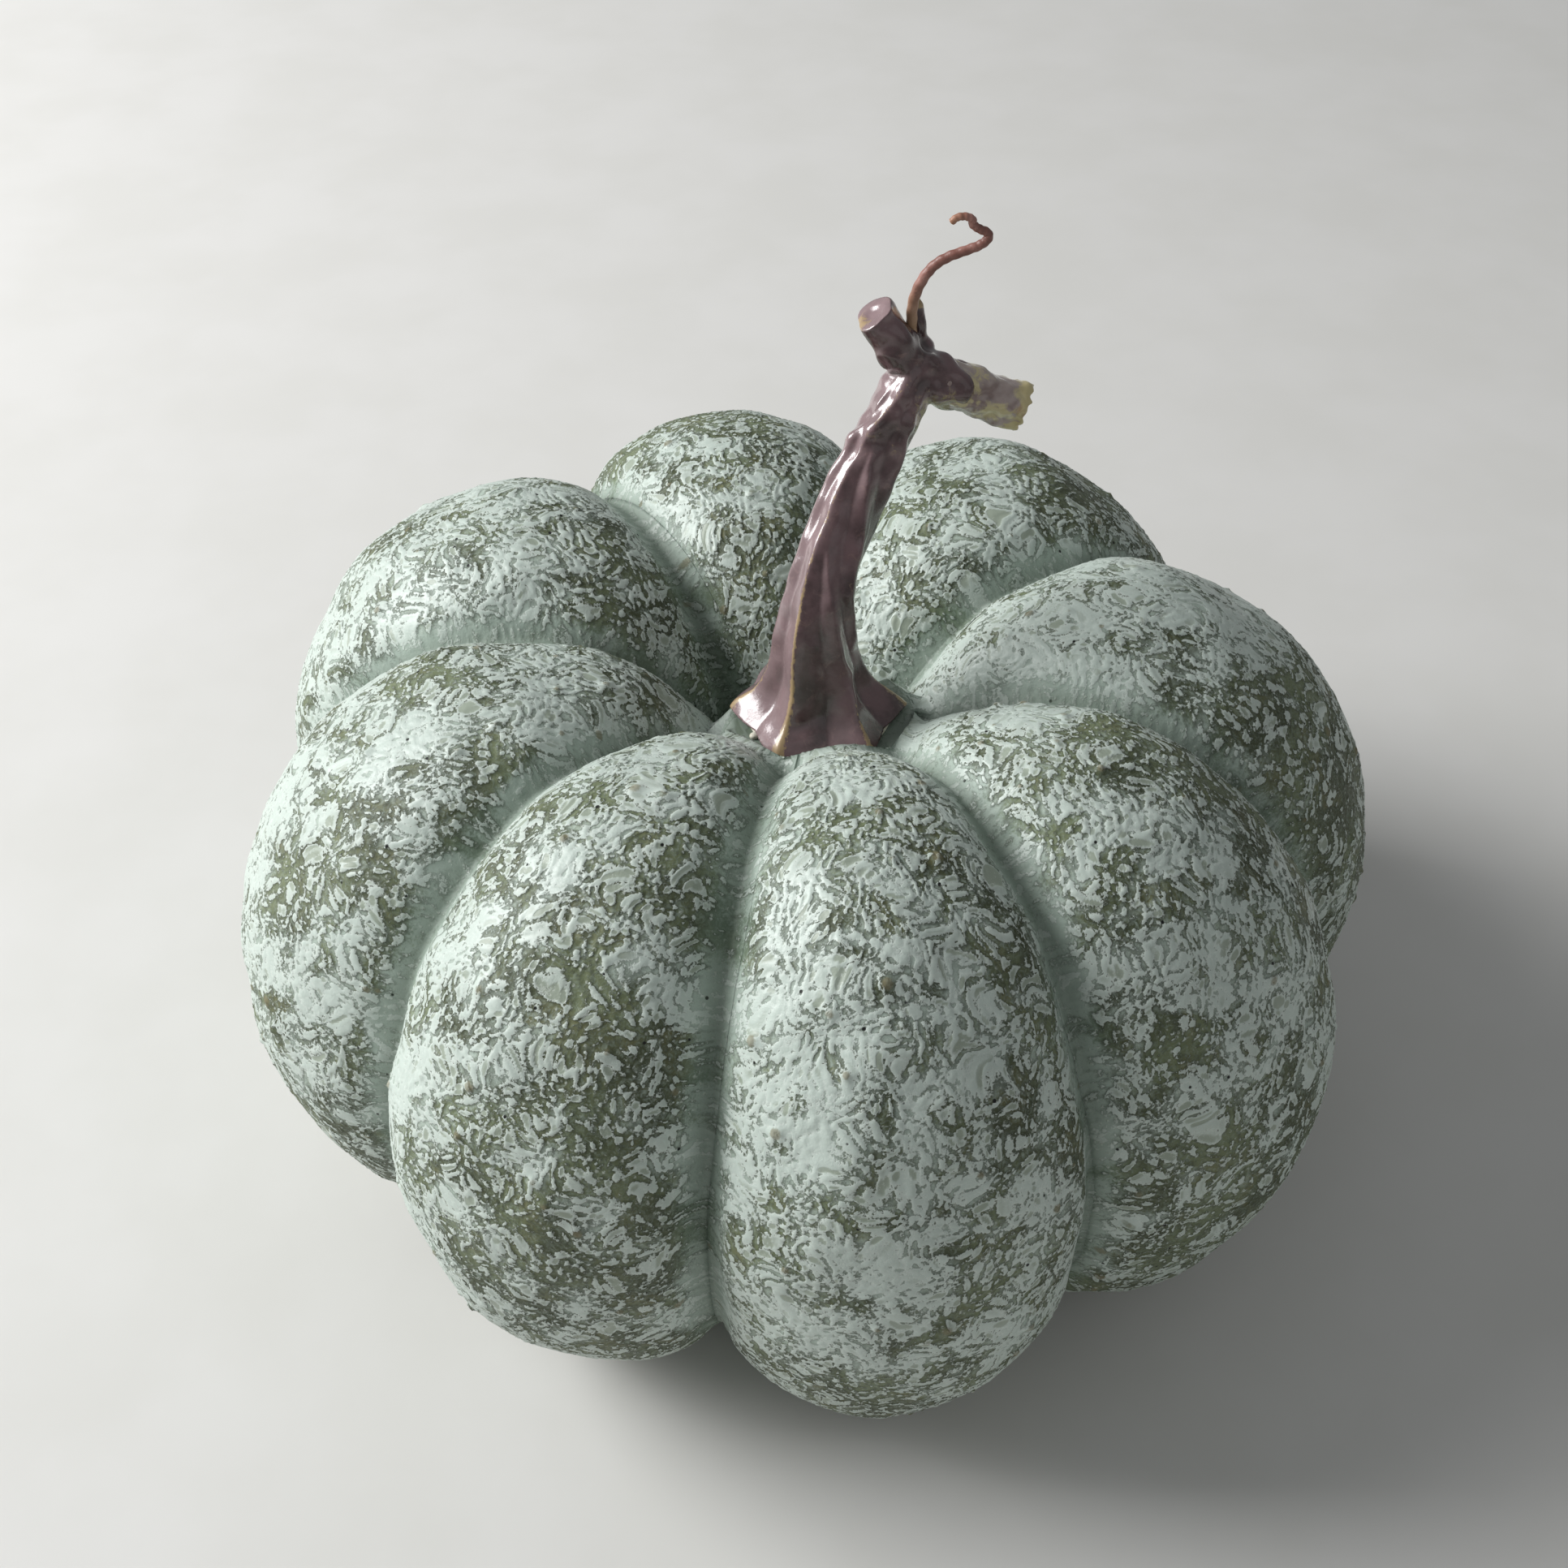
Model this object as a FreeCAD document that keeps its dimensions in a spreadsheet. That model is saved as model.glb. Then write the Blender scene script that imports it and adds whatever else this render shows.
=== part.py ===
import FreeCAD, Part
import Sketcher
import math
import os

# A ceramic pumpkin figure: a hollow, eight-lobed, glazed shell with a separate moulded stalk.
# Millimetres, +Z up.  The origin is the middle of the table face, straight under the foot of the
# stalk.  -Y is the front.  Azimuths are counted from +X towards +Y.

doc = FreeCAD.newDocument("CeramicPumpkin")

# ---------------------------------------------------------------- sizes
# name, azimuth (deg), reach from the axis, half breadth, height of the crest
LOBES = [
    ("front", -80.0, 91.0, 39.0, 110.0),
    ("front_right", -33.0, 92.0, 42.5, 107.0),
    ("right", 13.0, 98.0, 42.0, 107.0),
    ("back_right", 60.0, 101.0, 44.5, 105.0),
    ("back", 105.0, 105.0, 40.5, 105.0),
    ("back_left", 147.0, 108.0, 44.0, 106.0),
    ("left", 190.0, 98.0, 46.0, 105.0),
    ("front_left", 235.0, 91.5, 40.5, 108.0),
]

# name, what it is measured from, x, y and rise of the centre, outer radius, turn (deg), lean (deg)
STALK = [
    ("foot", "foot", 0.0, 0.0, 0.0, 13.8, 12.0, 0.0),
    ("instep", "foot", -0.2, 0.2, 2.4, 11.2, 9.0, 0.0),
    ("ankle", "foot", -0.5, 0.4, 7.0, 8.2, 0.0, 0.0),
    ("shin", "foot", -0.6, 1.5, 14.0, 7.0, -16.0, 10.0),
    ("lower", "foot", 1.1, 5.0, 24.0, 5.9, -40.0, 26.0),
    ("middle", "knuckle", -9.8, -9.0, -17.4, 5.3, -58.0, 35.0),
    ("upper", "knuckle", -5.6, -4.8, -9.5, 4.7, -76.0, 38.0),
    ("neck", "knuckle", -0.8, -0.8, -1.5, 4.3, -94.0, 38.0),
]

# bends of the tendril, as x and z offsets from the knuckle; the last one is its free end
TENDRIL = [
    (-1.0, 10.5),
    (2.2, 17.6),
    (9.6, 20.9),
    (7.3, 24.7),
    (3.6, 24.0),
]

SIZES = [
    ("lobe_radial_half", 46.5, "half length of a lobe, measured outwards from the axis"),
    ("lobe_sink", 4.0, "how far a lobe would reach below the table face before it is cut flat"),
    ("lobe_lean", 7.7, "how far the top of a lobe leans in, degrees"),
    ("wall", 5.0, "wall of the cast shell"),
    ("base_disc_radius", 52.0, "flat middle of the base"),
    ("base_disc_height", 12.0, "height to which the base disc is solid with the lobes"),
    ("crown_height", 92.0, "height of the flat seat in the crown dimple"),
    ("crown_seat_radius", 17.0, "flat seat that carries the stalk"),
    ("crown_flank_radius", 28.0, "where the crown seat has run out into the lobes"),
    ("crown_flank_drop", 12.0, "how far the crown's flank falls"),
    ("hollow_core_height", 45.0, "height to which the middle of the hollow is straight"),
    ("seat_clearance", 0.8, "gap all round the foot where the lobes are let back for it"),
    ("peg_radius", 1.75, "locating peg of the stalk"),
    ("peg_below_seat", 14.0, "length of the peg inside the shell, from the seat down"),
    ("peg_in_stalk", 9.0, "length of the peg inside the stalk"),
    ("peg_shell_clearance", 0.15, "radial clearance of the peg in the shell's firing hole"),
    ("peg_stalk_clearance", 0.05, "radial clearance of the peg in the stalk"),
    ("glue_bed", 0.6, "thickness of the adhesive bed under the foot"),
    ("glue_squeeze", 0.5, "how far the bed is squeezed out past the flats of the foot"),
    ("glue_bead_radius", 1.3, "bead of adhesive at the front of the foot"),
    ("glue_bead_gap", 0.2, "gap between the bead and the side of the foot"),
    ("stalk_ridges", 5.0, "ridges that wind up the stalk"),
    ("stalk_lean_azimuth", 50.0, "the way the stalk leans"),
    ("knuckle_x", 14.0, "centre of the knuckle where the vine forks"),
    ("knuckle_y", 18.8, "centre of the knuckle"),
    ("knuckle_rise", 50.0, "height of the knuckle above the foot face"),
    ("knuckle_radius", 4.4, "knuckle"),
    ("stub_dx", -5.6, "end of the cut stub, from the knuckle"),
    ("stub_dy", -0.8, "end of the cut stub, from the knuckle"),
    ("stub_dz", 9.2, "end of the cut stub, from the knuckle"),
    ("stub_root_radius", 3.7, "stub at the knuckle"),
    ("stub_end_radius", 3.1, "rounded end of the stub"),
    ("sheath_radius", 1.9, "root of the leaf sheath beside the tendril"),
    ("sheath_tip_radius", 0.4, "tip of the leaf sheath"),
    ("sheath_length", 9.5, "leaf sheath, from the knuckle's centre"),
    ("sheath_dx", 0.7, "root of the leaf sheath, from the knuckle"),
    ("sheath_dy", 3.1, "root of the leaf sheath, from the knuckle"),
    ("branch_azimuth", 8.0, "the way the side branch points"),
    ("branch_fall", 24.0, "how far below level the side branch points, degrees"),
    ("branch_length", 18.4, "from the knuckle's centre to the broken end"),
    ("branch_radius", 3.6, "outside of the side branch"),
    ("branch_bore_radius", 2.3, "hollow of the broken end"),
    ("branch_bore_depth", 9.0, "depth of the hollow"),
    ("branch_seat", 2.6, "from the knuckle's centre to the floor of the branch's socket"),
    ("branch_clearance", 0.05, "radial clearance of the branch in its socket"),
    ("wire_radius", 0.4, "bare wire of the tendril"),
    ("wrap_radius", 0.7, "paper wrap round the wire"),
    ("wrap_clearance", 0.03, "radial clearance between wire and wrap"),
    ("tendril_hole_clearance", 0.05, "radial clearance of the wrapped wire in the stalk"),
    ("tendril_dy", 1.6, "tendril's plane, behind the knuckle"),
    ("tendril_root", 1.0, "end of the wire, above the knuckle's centre"),
    ("tendril_wrap_root", 2.4, "end of the wrap, above the knuckle's centre"),
    ("tendril_bend", 0.45, "share of the shorter run that a bend may use"),
]

sheet = doc.addObject("Spreadsheet::Sheet", "Sizes")
row = 1


def write_size(alias, value, note):
    """Puts one named size into the sheet."""
    global row
    sheet.set(f"A{row}", note)
    sheet.set(f"B{row}", str(value))
    sheet.setAlias(f"B{row}", alias)
    row += 1


for alias, value, note in SIZES:
    write_size(alias, value, note)
for name, azimuth, reach, half_breadth, crest in LOBES:
    write_size(f"{name}_azimuth", azimuth, f"{name} lobe, direction")
    write_size(f"{name}_reach", reach, f"{name} lobe, from the axis to its outermost point")
    write_size(f"{name}_half_breadth", half_breadth, f"{name} lobe, half its breadth")
    write_size(f"{name}_crest", crest, f"{name} lobe, height")
for name, datum, x, y, rise, radius, turn, lean in STALK:
    write_size(f"stalk_{name}_x", x, f"stalk centre at the {name}, from the {datum}")
    write_size(f"stalk_{name}_y", y, f"stalk centre at the {name}, from the {datum}")
    write_size(f"stalk_{name}_rise", rise, f"height of the {name} above the {datum}")
    write_size(f"stalk_{name}_radius", radius, f"radius over the ridges at the {name}")
    write_size(f"stalk_{name}_turn", turn, f"turn of the ridges at the {name}")
    write_size(f"stalk_{name}_lean", lean, f"lean of the section at the {name}")
doc.recompute()


# ---------------------------------------------------------------- helpers
def add(kind, name, **bindings):
    """Adds a document object and binds its properties to expressions on the sheet."""
    part = doc.addObject(kind, name)
    for prop, expression in bindings.items():
        part.setExpression(prop, expression)
    return part


def place(x, y, z, rotation="rotation(0; 0; 0)"):
    """The expression of a placement."""
    return f"placement(vector({x}; {y}; {z}); {rotation})"


def fuse(name, shapes):
    """One solid out of several that overlap."""
    part = doc.addObject("Part::MultiFuse", name)
    part.Shapes = shapes
    return part


def cut(name, base, tool):
    """A base with a tool taken away."""
    part = doc.addObject("Part::Cut", name)
    part.Base = base
    part.Tool = tool
    return part


def value(alias):
    """A plain number out of the sheet."""
    return float(sheet.get(alias))


# ---------------------------------------------------------------- shell
def lobe_set(prefix, inset):
    """The eight lobes as ellipsoids, each made smaller all round by the inset."""
    lobes = []
    for name, *_ in LOBES:
        centre = f"(Sizes.{name}_reach - Sizes.lobe_radial_half)"
        rise = f"(Sizes.{name}_crest - Sizes.lobe_sink) / 2"
        lobe = add(
            "Part::Ellipsoid",
            f"{prefix}_{name}",
            Radius1=f"(Sizes.{name}_crest + Sizes.lobe_sink) / 2 - {inset}",
            Radius2=f"Sizes.lobe_radial_half - {inset}",
            Radius3=f"Sizes.{name}_half_breadth - {inset}",
            Placement=place(
                f"{centre} * cos(Sizes.{name}_azimuth)",
                f"{centre} * sin(Sizes.{name}_azimuth)",
                rise,
                f"rotation(Sizes.{name}_azimuth; -Sizes.lobe_lean; 0)",
            ),
        )
        lobes.append(lobe)
    return lobes


def table_block(name, top):
    """A block that reaches from well below the table up to the given height."""
    reach = "(Sizes.back_left_reach + Sizes.lobe_radial_half)"
    return add(
        "Part::Box",
        name,
        Length=f"2 * {reach}",
        Width=f"2 * {reach}",
        Height="Sizes.lobe_radial_half",
        Placement=place(f"-{reach}", f"-{reach}", f"{top} - Sizes.lobe_radial_half"),
    )


crown = add(
    "Part::Cone",
    "CrownFlank",
    Radius1="Sizes.crown_flank_radius",
    Radius2="Sizes.crown_seat_radius",
    Height="Sizes.crown_flank_drop",
    Placement=place(0, 0, "Sizes.crown_height - Sizes.crown_flank_drop"),
)
core = add(
    "Part::Cylinder",
    "CrownCore",
    Radius="Sizes.crown_flank_radius",
    Height="Sizes.crown_height - Sizes.crown_flank_drop",
)
base_disc = add(
    "Part::Cylinder",
    "BaseDisc",
    Radius="Sizes.base_disc_radius",
    Height="Sizes.base_disc_height",
)
outside = fuse("Outside", lobe_set("Lobe", "0") + [crown, core, base_disc])
outside_flat = cut("OutsideFlat", outside, table_block("BelowTable", "0"))

hollow_core = add(
    "Part::Cylinder",
    "HollowCore",
    Radius="Sizes.base_disc_radius - Sizes.wall",
    Height="Sizes.hollow_core_height",
)
hollow_crown = add(
    "Part::Cone",
    "HollowCrown",
    Radius1="Sizes.base_disc_radius - Sizes.wall",
    Radius2="Sizes.crown_flank_radius - Sizes.wall",
    Height="Sizes.crown_height - Sizes.crown_flank_drop - Sizes.hollow_core_height",
    Placement=place(0, 0, "Sizes.hollow_core_height"),
)
inside = fuse("Inside", lobe_set("Hollow", "Sizes.wall") + [hollow_core, hollow_crown])
inside_flat = cut("InsideFlat", inside, table_block("BelowFloor", "Sizes.wall"))

crown_hole = add(
    "Part::Cylinder",
    "CrownHole",
    Radius="Sizes.peg_radius + Sizes.peg_shell_clearance",
    Height="Sizes.crown_flank_drop + 2 * Sizes.wall",
    Placement=place(0, 0, "Sizes.crown_height - Sizes.crown_flank_drop - Sizes.wall"),
)
seat_pocket = add(
    "Part::Cylinder",
    "SeatPocket",
    Radius="Sizes.stalk_foot_radius + Sizes.seat_clearance",
    Height="Sizes.crown_flank_radius",
    Placement=place(0, 0, "Sizes.crown_height"),
)
shell_tools = fuse("ShellTools", [inside_flat, crown_hole, seat_pocket])
body_shell = cut("BodyShell", outside_flat, shell_tools)

# ---------------------------------------------------------------- stalk
FOOT_FACE = "(Sizes.crown_height + Sizes.glue_bed)"
KNUCKLE_Z = f"({FOOT_FACE} + Sizes.knuckle_rise)"
BRANCH_TURN = "rotation(Sizes.branch_azimuth; 90 + Sizes.branch_fall; 0)"


def along_branch(distance):
    """A placement on the side branch's axis, the given distance from the knuckle's centre."""
    return (
        place("Sizes.knuckle_x", "Sizes.knuckle_y", KNUCKLE_Z, BRANCH_TURN)
        + f" * {place(0, 0, distance)}"
    )


DATUMS = {
    "foot": ("0", "0", FOOT_FACE),
    "knuckle": ("Sizes.knuckle_x", "Sizes.knuckle_y", KNUCKLE_Z),
}

sections = []
for name, datum, *_ in STALK:
    datum_x, datum_y, datum_z = DATUMS[datum]
    section = add(
        "Part::RegularPolygon",
        f"Section_{name}",
        Circumradius=f"Sizes.stalk_{name}_radius",
        Polygon="Sizes.stalk_ridges",
        Placement=place(
            f"{datum_x} + Sizes.stalk_{name}_x",
            f"{datum_y} + Sizes.stalk_{name}_y",
            f"{datum_z} + Sizes.stalk_{name}_rise",
            f"rotation(Sizes.stalk_lean_azimuth; Sizes.stalk_{name}_lean; 0)"
            f" * rotation(Sizes.stalk_{name}_turn - Sizes.stalk_lean_azimuth; 0; 0)",
        ),
    )
    sections.append(section)
shaft = doc.addObject("Part::Loft", "Shaft")
shaft.Sections = sections
shaft.Solid = True
shaft.Ruled = False

knuckle = add(
    "Part::Sphere",
    "Knuckle",
    Radius="Sizes.knuckle_radius",
    Placement=place("Sizes.knuckle_x", "Sizes.knuckle_y", KNUCKLE_Z),
)
STUB_LENGTH = "sqrt(Sizes.stub_dx ^ 2 + Sizes.stub_dy ^ 2 + Sizes.stub_dz ^ 2)"
STUB_TURN = (
    "rotation(atan2(Sizes.stub_dy; Sizes.stub_dx);"
    f" acos(Sizes.stub_dz / {STUB_LENGTH}); 0)"
)
stub = add(
    "Part::Cone",
    "Stub",
    Radius1="Sizes.stub_root_radius",
    Radius2="Sizes.stub_end_radius",
    Height=STUB_LENGTH,
    Placement=place("Sizes.knuckle_x", "Sizes.knuckle_y", KNUCKLE_Z, STUB_TURN),
)
stub_end = add(
    "Part::Sphere",
    "StubEnd",
    Radius="Sizes.stub_end_radius",
    Placement=place(
        "Sizes.knuckle_x + Sizes.stub_dx",
        "Sizes.knuckle_y + Sizes.stub_dy",
        f"{KNUCKLE_Z} + Sizes.stub_dz",
    ),
)
sheath = add(
    "Part::Cone",
    "LeafSheath",
    Radius1="Sizes.sheath_radius",
    Radius2="Sizes.sheath_tip_radius",
    Height="Sizes.sheath_length",
    Placement=place(
        "Sizes.knuckle_x + Sizes.sheath_dx",
        "Sizes.knuckle_y + Sizes.sheath_dy",
        KNUCKLE_Z,
    ),
)
stalk_body = fuse("StalkBody", [shaft, knuckle, stub, stub_end, sheath])

peg_hole = add(
    "Part::Cylinder",
    "PegHole",
    Radius="Sizes.peg_radius + Sizes.peg_stalk_clearance",
    Height="Sizes.peg_in_stalk + Sizes.wall",
    Placement=place(0, 0, f"{FOOT_FACE} - Sizes.wall"),
)
branch_socket = add(
    "Part::Cylinder",
    "BranchSocket",
    Radius="Sizes.branch_radius + Sizes.branch_clearance",
    Height="Sizes.branch_length",
    Placement=along_branch("Sizes.branch_seat"),
)
tendril_hole = add(
    "Part::Cylinder",
    "TendrilHole",
    Radius="Sizes.wrap_radius + Sizes.tendril_hole_clearance",
    Height="Sizes.knuckle_radius + Sizes.stub_end_radius",
    Placement=place(
        f"Sizes.knuckle_x + {TENDRIL[0][0]}",
        "Sizes.knuckle_y + Sizes.tendril_dy",
        f"{KNUCKLE_Z} + Sizes.tendril_root",
    ),
)
stalk_tools = fuse("StalkTools", [peg_hole, tendril_hole])
stalk_drilled = cut("StalkDrilled", stalk_body, stalk_tools)
stem = cut("Stem", stalk_drilled, branch_socket)

# ---------------------------------------------------------------- side branch
branch_bar = add(
    "Part::Cylinder",
    "BranchBar",
    Radius="Sizes.branch_radius",
    Height="Sizes.branch_length - Sizes.branch_seat",
    Placement=along_branch("Sizes.branch_seat"),
)
branch_bore = add(
    "Part::Cylinder",
    "BranchBore",
    Radius="Sizes.branch_bore_radius",
    Height="2 * Sizes.branch_bore_depth",
    Placement=along_branch("Sizes.branch_length - Sizes.branch_bore_depth"),
)
side_branch = cut("SideBranch", branch_bar, branch_bore)

# ---------------------------------------------------------------- peg and adhesive
stem_peg = add(
    "Part::Cylinder",
    "StemPeg",
    Radius="Sizes.peg_radius",
    Height="Sizes.peg_below_seat + Sizes.glue_bed + Sizes.peg_in_stalk",
    Placement=place(0, 0, "Sizes.crown_height - Sizes.peg_below_seat"),
)

FOOT_FLAT = "(Sizes.stalk_foot_radius * cos(180 / Sizes.stalk_ridges))"
glue_disc = add(
    "Part::Cylinder",
    "GlueDisc",
    Radius=f"{FOOT_FLAT} + Sizes.glue_squeeze",
    Height="Sizes.glue_bed",
    Placement=place(0, 0, "Sizes.crown_height"),
)
BEAD_REACH = f"({FOOT_FLAT} + Sizes.glue_bead_gap + Sizes.glue_bead_radius)"
BEAD_AZIMUTH = "(Sizes.stalk_foot_turn - 540 / Sizes.stalk_ridges)"
glue_bead = add(
    "Part::Sphere",
    "GlueBead",
    Radius="Sizes.glue_bead_radius",
    Placement=place(
        f"{BEAD_REACH} * cos{BEAD_AZIMUTH}",
        f"{BEAD_REACH} * sin{BEAD_AZIMUTH}",
        "Sizes.crown_height",
    ),
)
glue_bead.Angle1 = 0
glue_body = fuse("GlueBody", [glue_disc, glue_bead])
glue_hole = add(
    "Part::Cylinder",
    "GlueHole",
    Radius="Sizes.peg_radius",
    Height="3 * Sizes.glue_bed",
    Placement=place(0, 0, "Sizes.crown_height - Sizes.glue_bed"),
)
stem_adhesive = cut("StemAdhesive", glue_body, glue_hole)


# ---------------------------------------------------------------- tendril
def origin_plane(body, role):
    """One of a body's own origin planes."""
    return next(plane for plane in body.Origin.OriginFeatures if plane.Role == role)


def bent_path(points, share):
    """Straight runs joined by tangent arcs, in the plane of a sketch."""
    flat = [FreeCAD.Vector(x, z, 0) for x, z in points]
    edges = []
    start = flat[0]
    for before, corner, after in zip(flat, flat[1:], flat[2:]):
        run_in = (corner - before).normalize()
        run_out = (after - corner).normalize()
        setback = share * min((corner - before).Length, (after - corner).Length)
        first = corner - run_in * setback
        last = corner + run_out * setback
        half_turn = run_in.getAngle(run_out) / 2
        radius = setback / math.tan(half_turn)
        inward = (run_out - run_in).normalize()
        centre = corner + inward * (setback / math.sin(half_turn))
        middle = centre - inward * radius
        edges.append(Part.LineSegment(start, first))
        edges.append(Part.Arc(first, middle, last))
        start = last
    edges.append(Part.LineSegment(start, flat[-1]))
    return edges


def bent_tube(name, root, outer, bore):
    """A tube of constant section that follows the tendril from its root to its free end."""
    body = doc.addObject("PartDesign::Body", name)
    path = body.newObject("Sketcher::SketchObject", f"{name}Path")
    path.AttachmentSupport = (origin_plane(body, "XZ_Plane"), "")
    path.MapMode = "FlatFace"
    points = [(TENDRIL[0][0], value(root))] + TENDRIL
    for edge in bent_path(points, value("tendril_bend")):
        path.addGeometry(edge, False)
    ring = body.newObject("Sketcher::SketchObject", f"{name}Ring")
    ring.AttachmentSupport = (origin_plane(body, "XY_Plane"), "")
    ring.MapMode = "FlatFace"
    ring.setExpression("AttachmentOffset.Base.z", f"Sizes.{root}")
    for radius in filter(None, (outer, bore)):
        circle = Part.Circle(FreeCAD.Vector(TENDRIL[0][0], 0, 0), FreeCAD.Vector(0, 0, 1), 1)
        index = ring.addGeometry(circle, False)
        constraint = ring.addConstraint(Sketcher.Constraint("Radius", index, 1.0))
        ring.setExpression(f"Constraints[{constraint}]", radius)
    doc.recompute()
    pipe = body.newObject("PartDesign::AdditivePipe", f"{name}Pipe")
    pipe.Profile = ring
    pipe.Spine = path
    body.setExpression(
        "Placement",
        place(
            "Sizes.knuckle_x",
            "Sizes.knuckle_y + Sizes.tendril_dy",
            KNUCKLE_Z,
        ),
    )
    return body


tendril_wire = bent_tube("TendrilWire", "tendril_root", "Sizes.wire_radius", None)
tendril_wrap = bent_tube(
    "TendrilWrap",
    "tendril_wrap_root",
    "Sizes.wrap_radius",
    "Sizes.wire_radius + Sizes.wrap_clearance",
)

# ---------------------------------------------------------------- check and write
NODES = {
    "body_shell": body_shell,
    "stem": stem,
    "side_branch": side_branch,
    "stem_peg": stem_peg,
    "stem_adhesive": stem_adhesive,
    "tendril_wire": tendril_wire,
    "tendril_wrap": tendril_wrap,
}

for label, part in NODES.items():
    part.Label = label
doc.recompute()

for part in doc.Objects:
    if "Invalid" in part.State or "Error" in part.State:
        raise RuntimeError(f"{part.Name} failed: {part.State}")

os.makedirs("parts", exist_ok=True)
for label, part in NODES.items():
    shape = part.Shape
    if shape.isNull() or not shape.isValid():
        raise RuntimeError(f"{label} has no valid shape")
    if len(shape.Solids) != 1:
        raise RuntimeError(f"{label} is {len(shape.Solids)} solids")
    shape.exportStep(os.path.join("parts", f"{label}.step"))
    box = shape.BoundBox
    print(
        f"{label}: {shape.Volume:.1f} mm3,"
        f" x {box.XMin:.2f} to {box.XMax:.2f},"
        f" y {box.YMin:.2f} to {box.YMax:.2f},"
        f" z {box.ZMin:.2f} to {box.ZMax:.2f}"
    )
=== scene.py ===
"""Looks of the ceramic pumpkin figure: glazed lobes, moulded stalk, side branch and tendril.

Sizes are in millimetres inside the classes and are turned to metres when a mesh is finished.
+Z is up and -Y is the front.
"""
import logging
import math
from collections.abc import Callable, Sequence
from dataclasses import dataclass, field
from enum import Enum
from functools import partial

import bmesh
import bpy
import numpy as np
from mathutils import Matrix, Vector
from mathutils.kdtree import KDTree


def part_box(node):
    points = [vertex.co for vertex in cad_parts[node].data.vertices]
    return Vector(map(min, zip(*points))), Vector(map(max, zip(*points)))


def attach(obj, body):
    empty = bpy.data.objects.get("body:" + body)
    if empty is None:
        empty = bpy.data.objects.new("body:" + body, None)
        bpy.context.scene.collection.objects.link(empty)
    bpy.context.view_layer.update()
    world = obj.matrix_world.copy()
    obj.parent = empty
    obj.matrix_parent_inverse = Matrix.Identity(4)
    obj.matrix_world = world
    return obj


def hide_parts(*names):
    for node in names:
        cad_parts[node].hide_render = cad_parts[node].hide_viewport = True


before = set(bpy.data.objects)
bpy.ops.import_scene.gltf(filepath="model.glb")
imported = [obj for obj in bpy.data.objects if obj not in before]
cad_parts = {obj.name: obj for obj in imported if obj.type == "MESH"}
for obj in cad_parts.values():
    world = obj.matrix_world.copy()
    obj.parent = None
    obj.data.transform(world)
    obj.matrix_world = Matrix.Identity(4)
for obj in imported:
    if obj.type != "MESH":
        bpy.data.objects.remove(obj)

MM = 0.001
TINY = 1e-6
LOG = logging.getLogger("pumpkin")
Array = np.ndarray


class Slot(Enum):
    """The record's material slots."""

    SHELL = "body_shell"
    STEM = "stem"
    BRANCH = "side_branch"
    PEG = "stem_peg"
    GLUE = "stem_adhesive"
    WIRE = "tendril_wire"
    WRAP = "tendril_wrap"


# ---------------------------------------------------------------- small number tools
def smoothstep(low: float, high: float, x: Array) -> Array:
    """An even ramp from 0 at low to 1 at high."""
    ramp = np.clip((x - low) / (high - low), 0.0, 1.0)
    return ramp * ramp * (3.0 - 2.0 * ramp)


def unit(vectors: Array) -> Array:
    """The same vectors at length one."""
    return vectors / np.maximum(np.linalg.norm(vectors, axis=-1, keepdims=True), 1e-9)


def catmull_rom(knots: Array, at: Array) -> Array:
    """Points on a smooth curve through evenly numbered knots.

    Args:
        knots: One row per knot.
        at: Places along the curve, from 0 at the first knot to 1 at the last.

    Returns:
        One row per place.
    """
    padded = np.vstack([2 * knots[0] - knots[1], knots, 2 * knots[-1] - knots[-2]])
    place = np.clip(at, 0.0, 1.0) * (len(knots) - 1)
    span = np.minimum(place.astype(int), len(knots) - 2)
    x = (place - span)[:, None]
    a, b, c, d = (padded[span + step] for step in range(4))
    square, cube = 2 * a - 5 * b + 4 * c - d, 3 * b - a - 3 * c + d
    return 0.5 * (2 * b + (c - a) * x + square * x**2 + cube * x**3)


@dataclass(frozen=True)
class WaveField:
    """A random field made of plane waves of about one wavelength, with unit spread."""

    wavelength: float
    seed: int
    waves: int = 40
    spread: float = 0.25

    def at(self, points: Array) -> Array:
        """The field's values.

        Args:
            points: Points in millimetres.

        Returns:
            One value per point.
        """
        rng = np.random.default_rng(self.seed)
        directions = unit(rng.normal(size=(self.waves, 3)))
        rates = 2 * math.pi / self.wavelength * (1 + self.spread * rng.normal(size=(self.waves, 1)))
        phases = rng.uniform(0, 2 * math.pi, self.waves)
        angles = points.astype(np.float32) @ (directions * rates).T.astype(np.float32)
        angles += phases.astype(np.float32)
        return math.sqrt(2 / self.waves) * np.cos(angles).sum(axis=1).astype(float)


# ---------------------------------------------------------------- mesh tools
def mapped_grid(columns: int, rows: int,
                place: Callable[[Array, Array], Array]) -> bmesh.types.BMesh:
    """A grid whose vertices are moved onto a surface.

    Args:
        columns: Faces across.
        rows: Faces along.
        place: Takes the two grid coordinates, each 0 to 1, and gives a point for each vertex.

    Returns:
        The new bmesh.
    """
    bm = bmesh.new()
    bmesh.ops.create_grid(bm, x_segments=columns, y_segments=rows, size=0.5)
    flat = np.array([vert.co[:2] for vert in bm.verts]) + 0.5
    for vert, point in zip(bm.verts, place(flat[:, 0], flat[:, 1])):
        vert.co = point
    return bm


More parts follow.
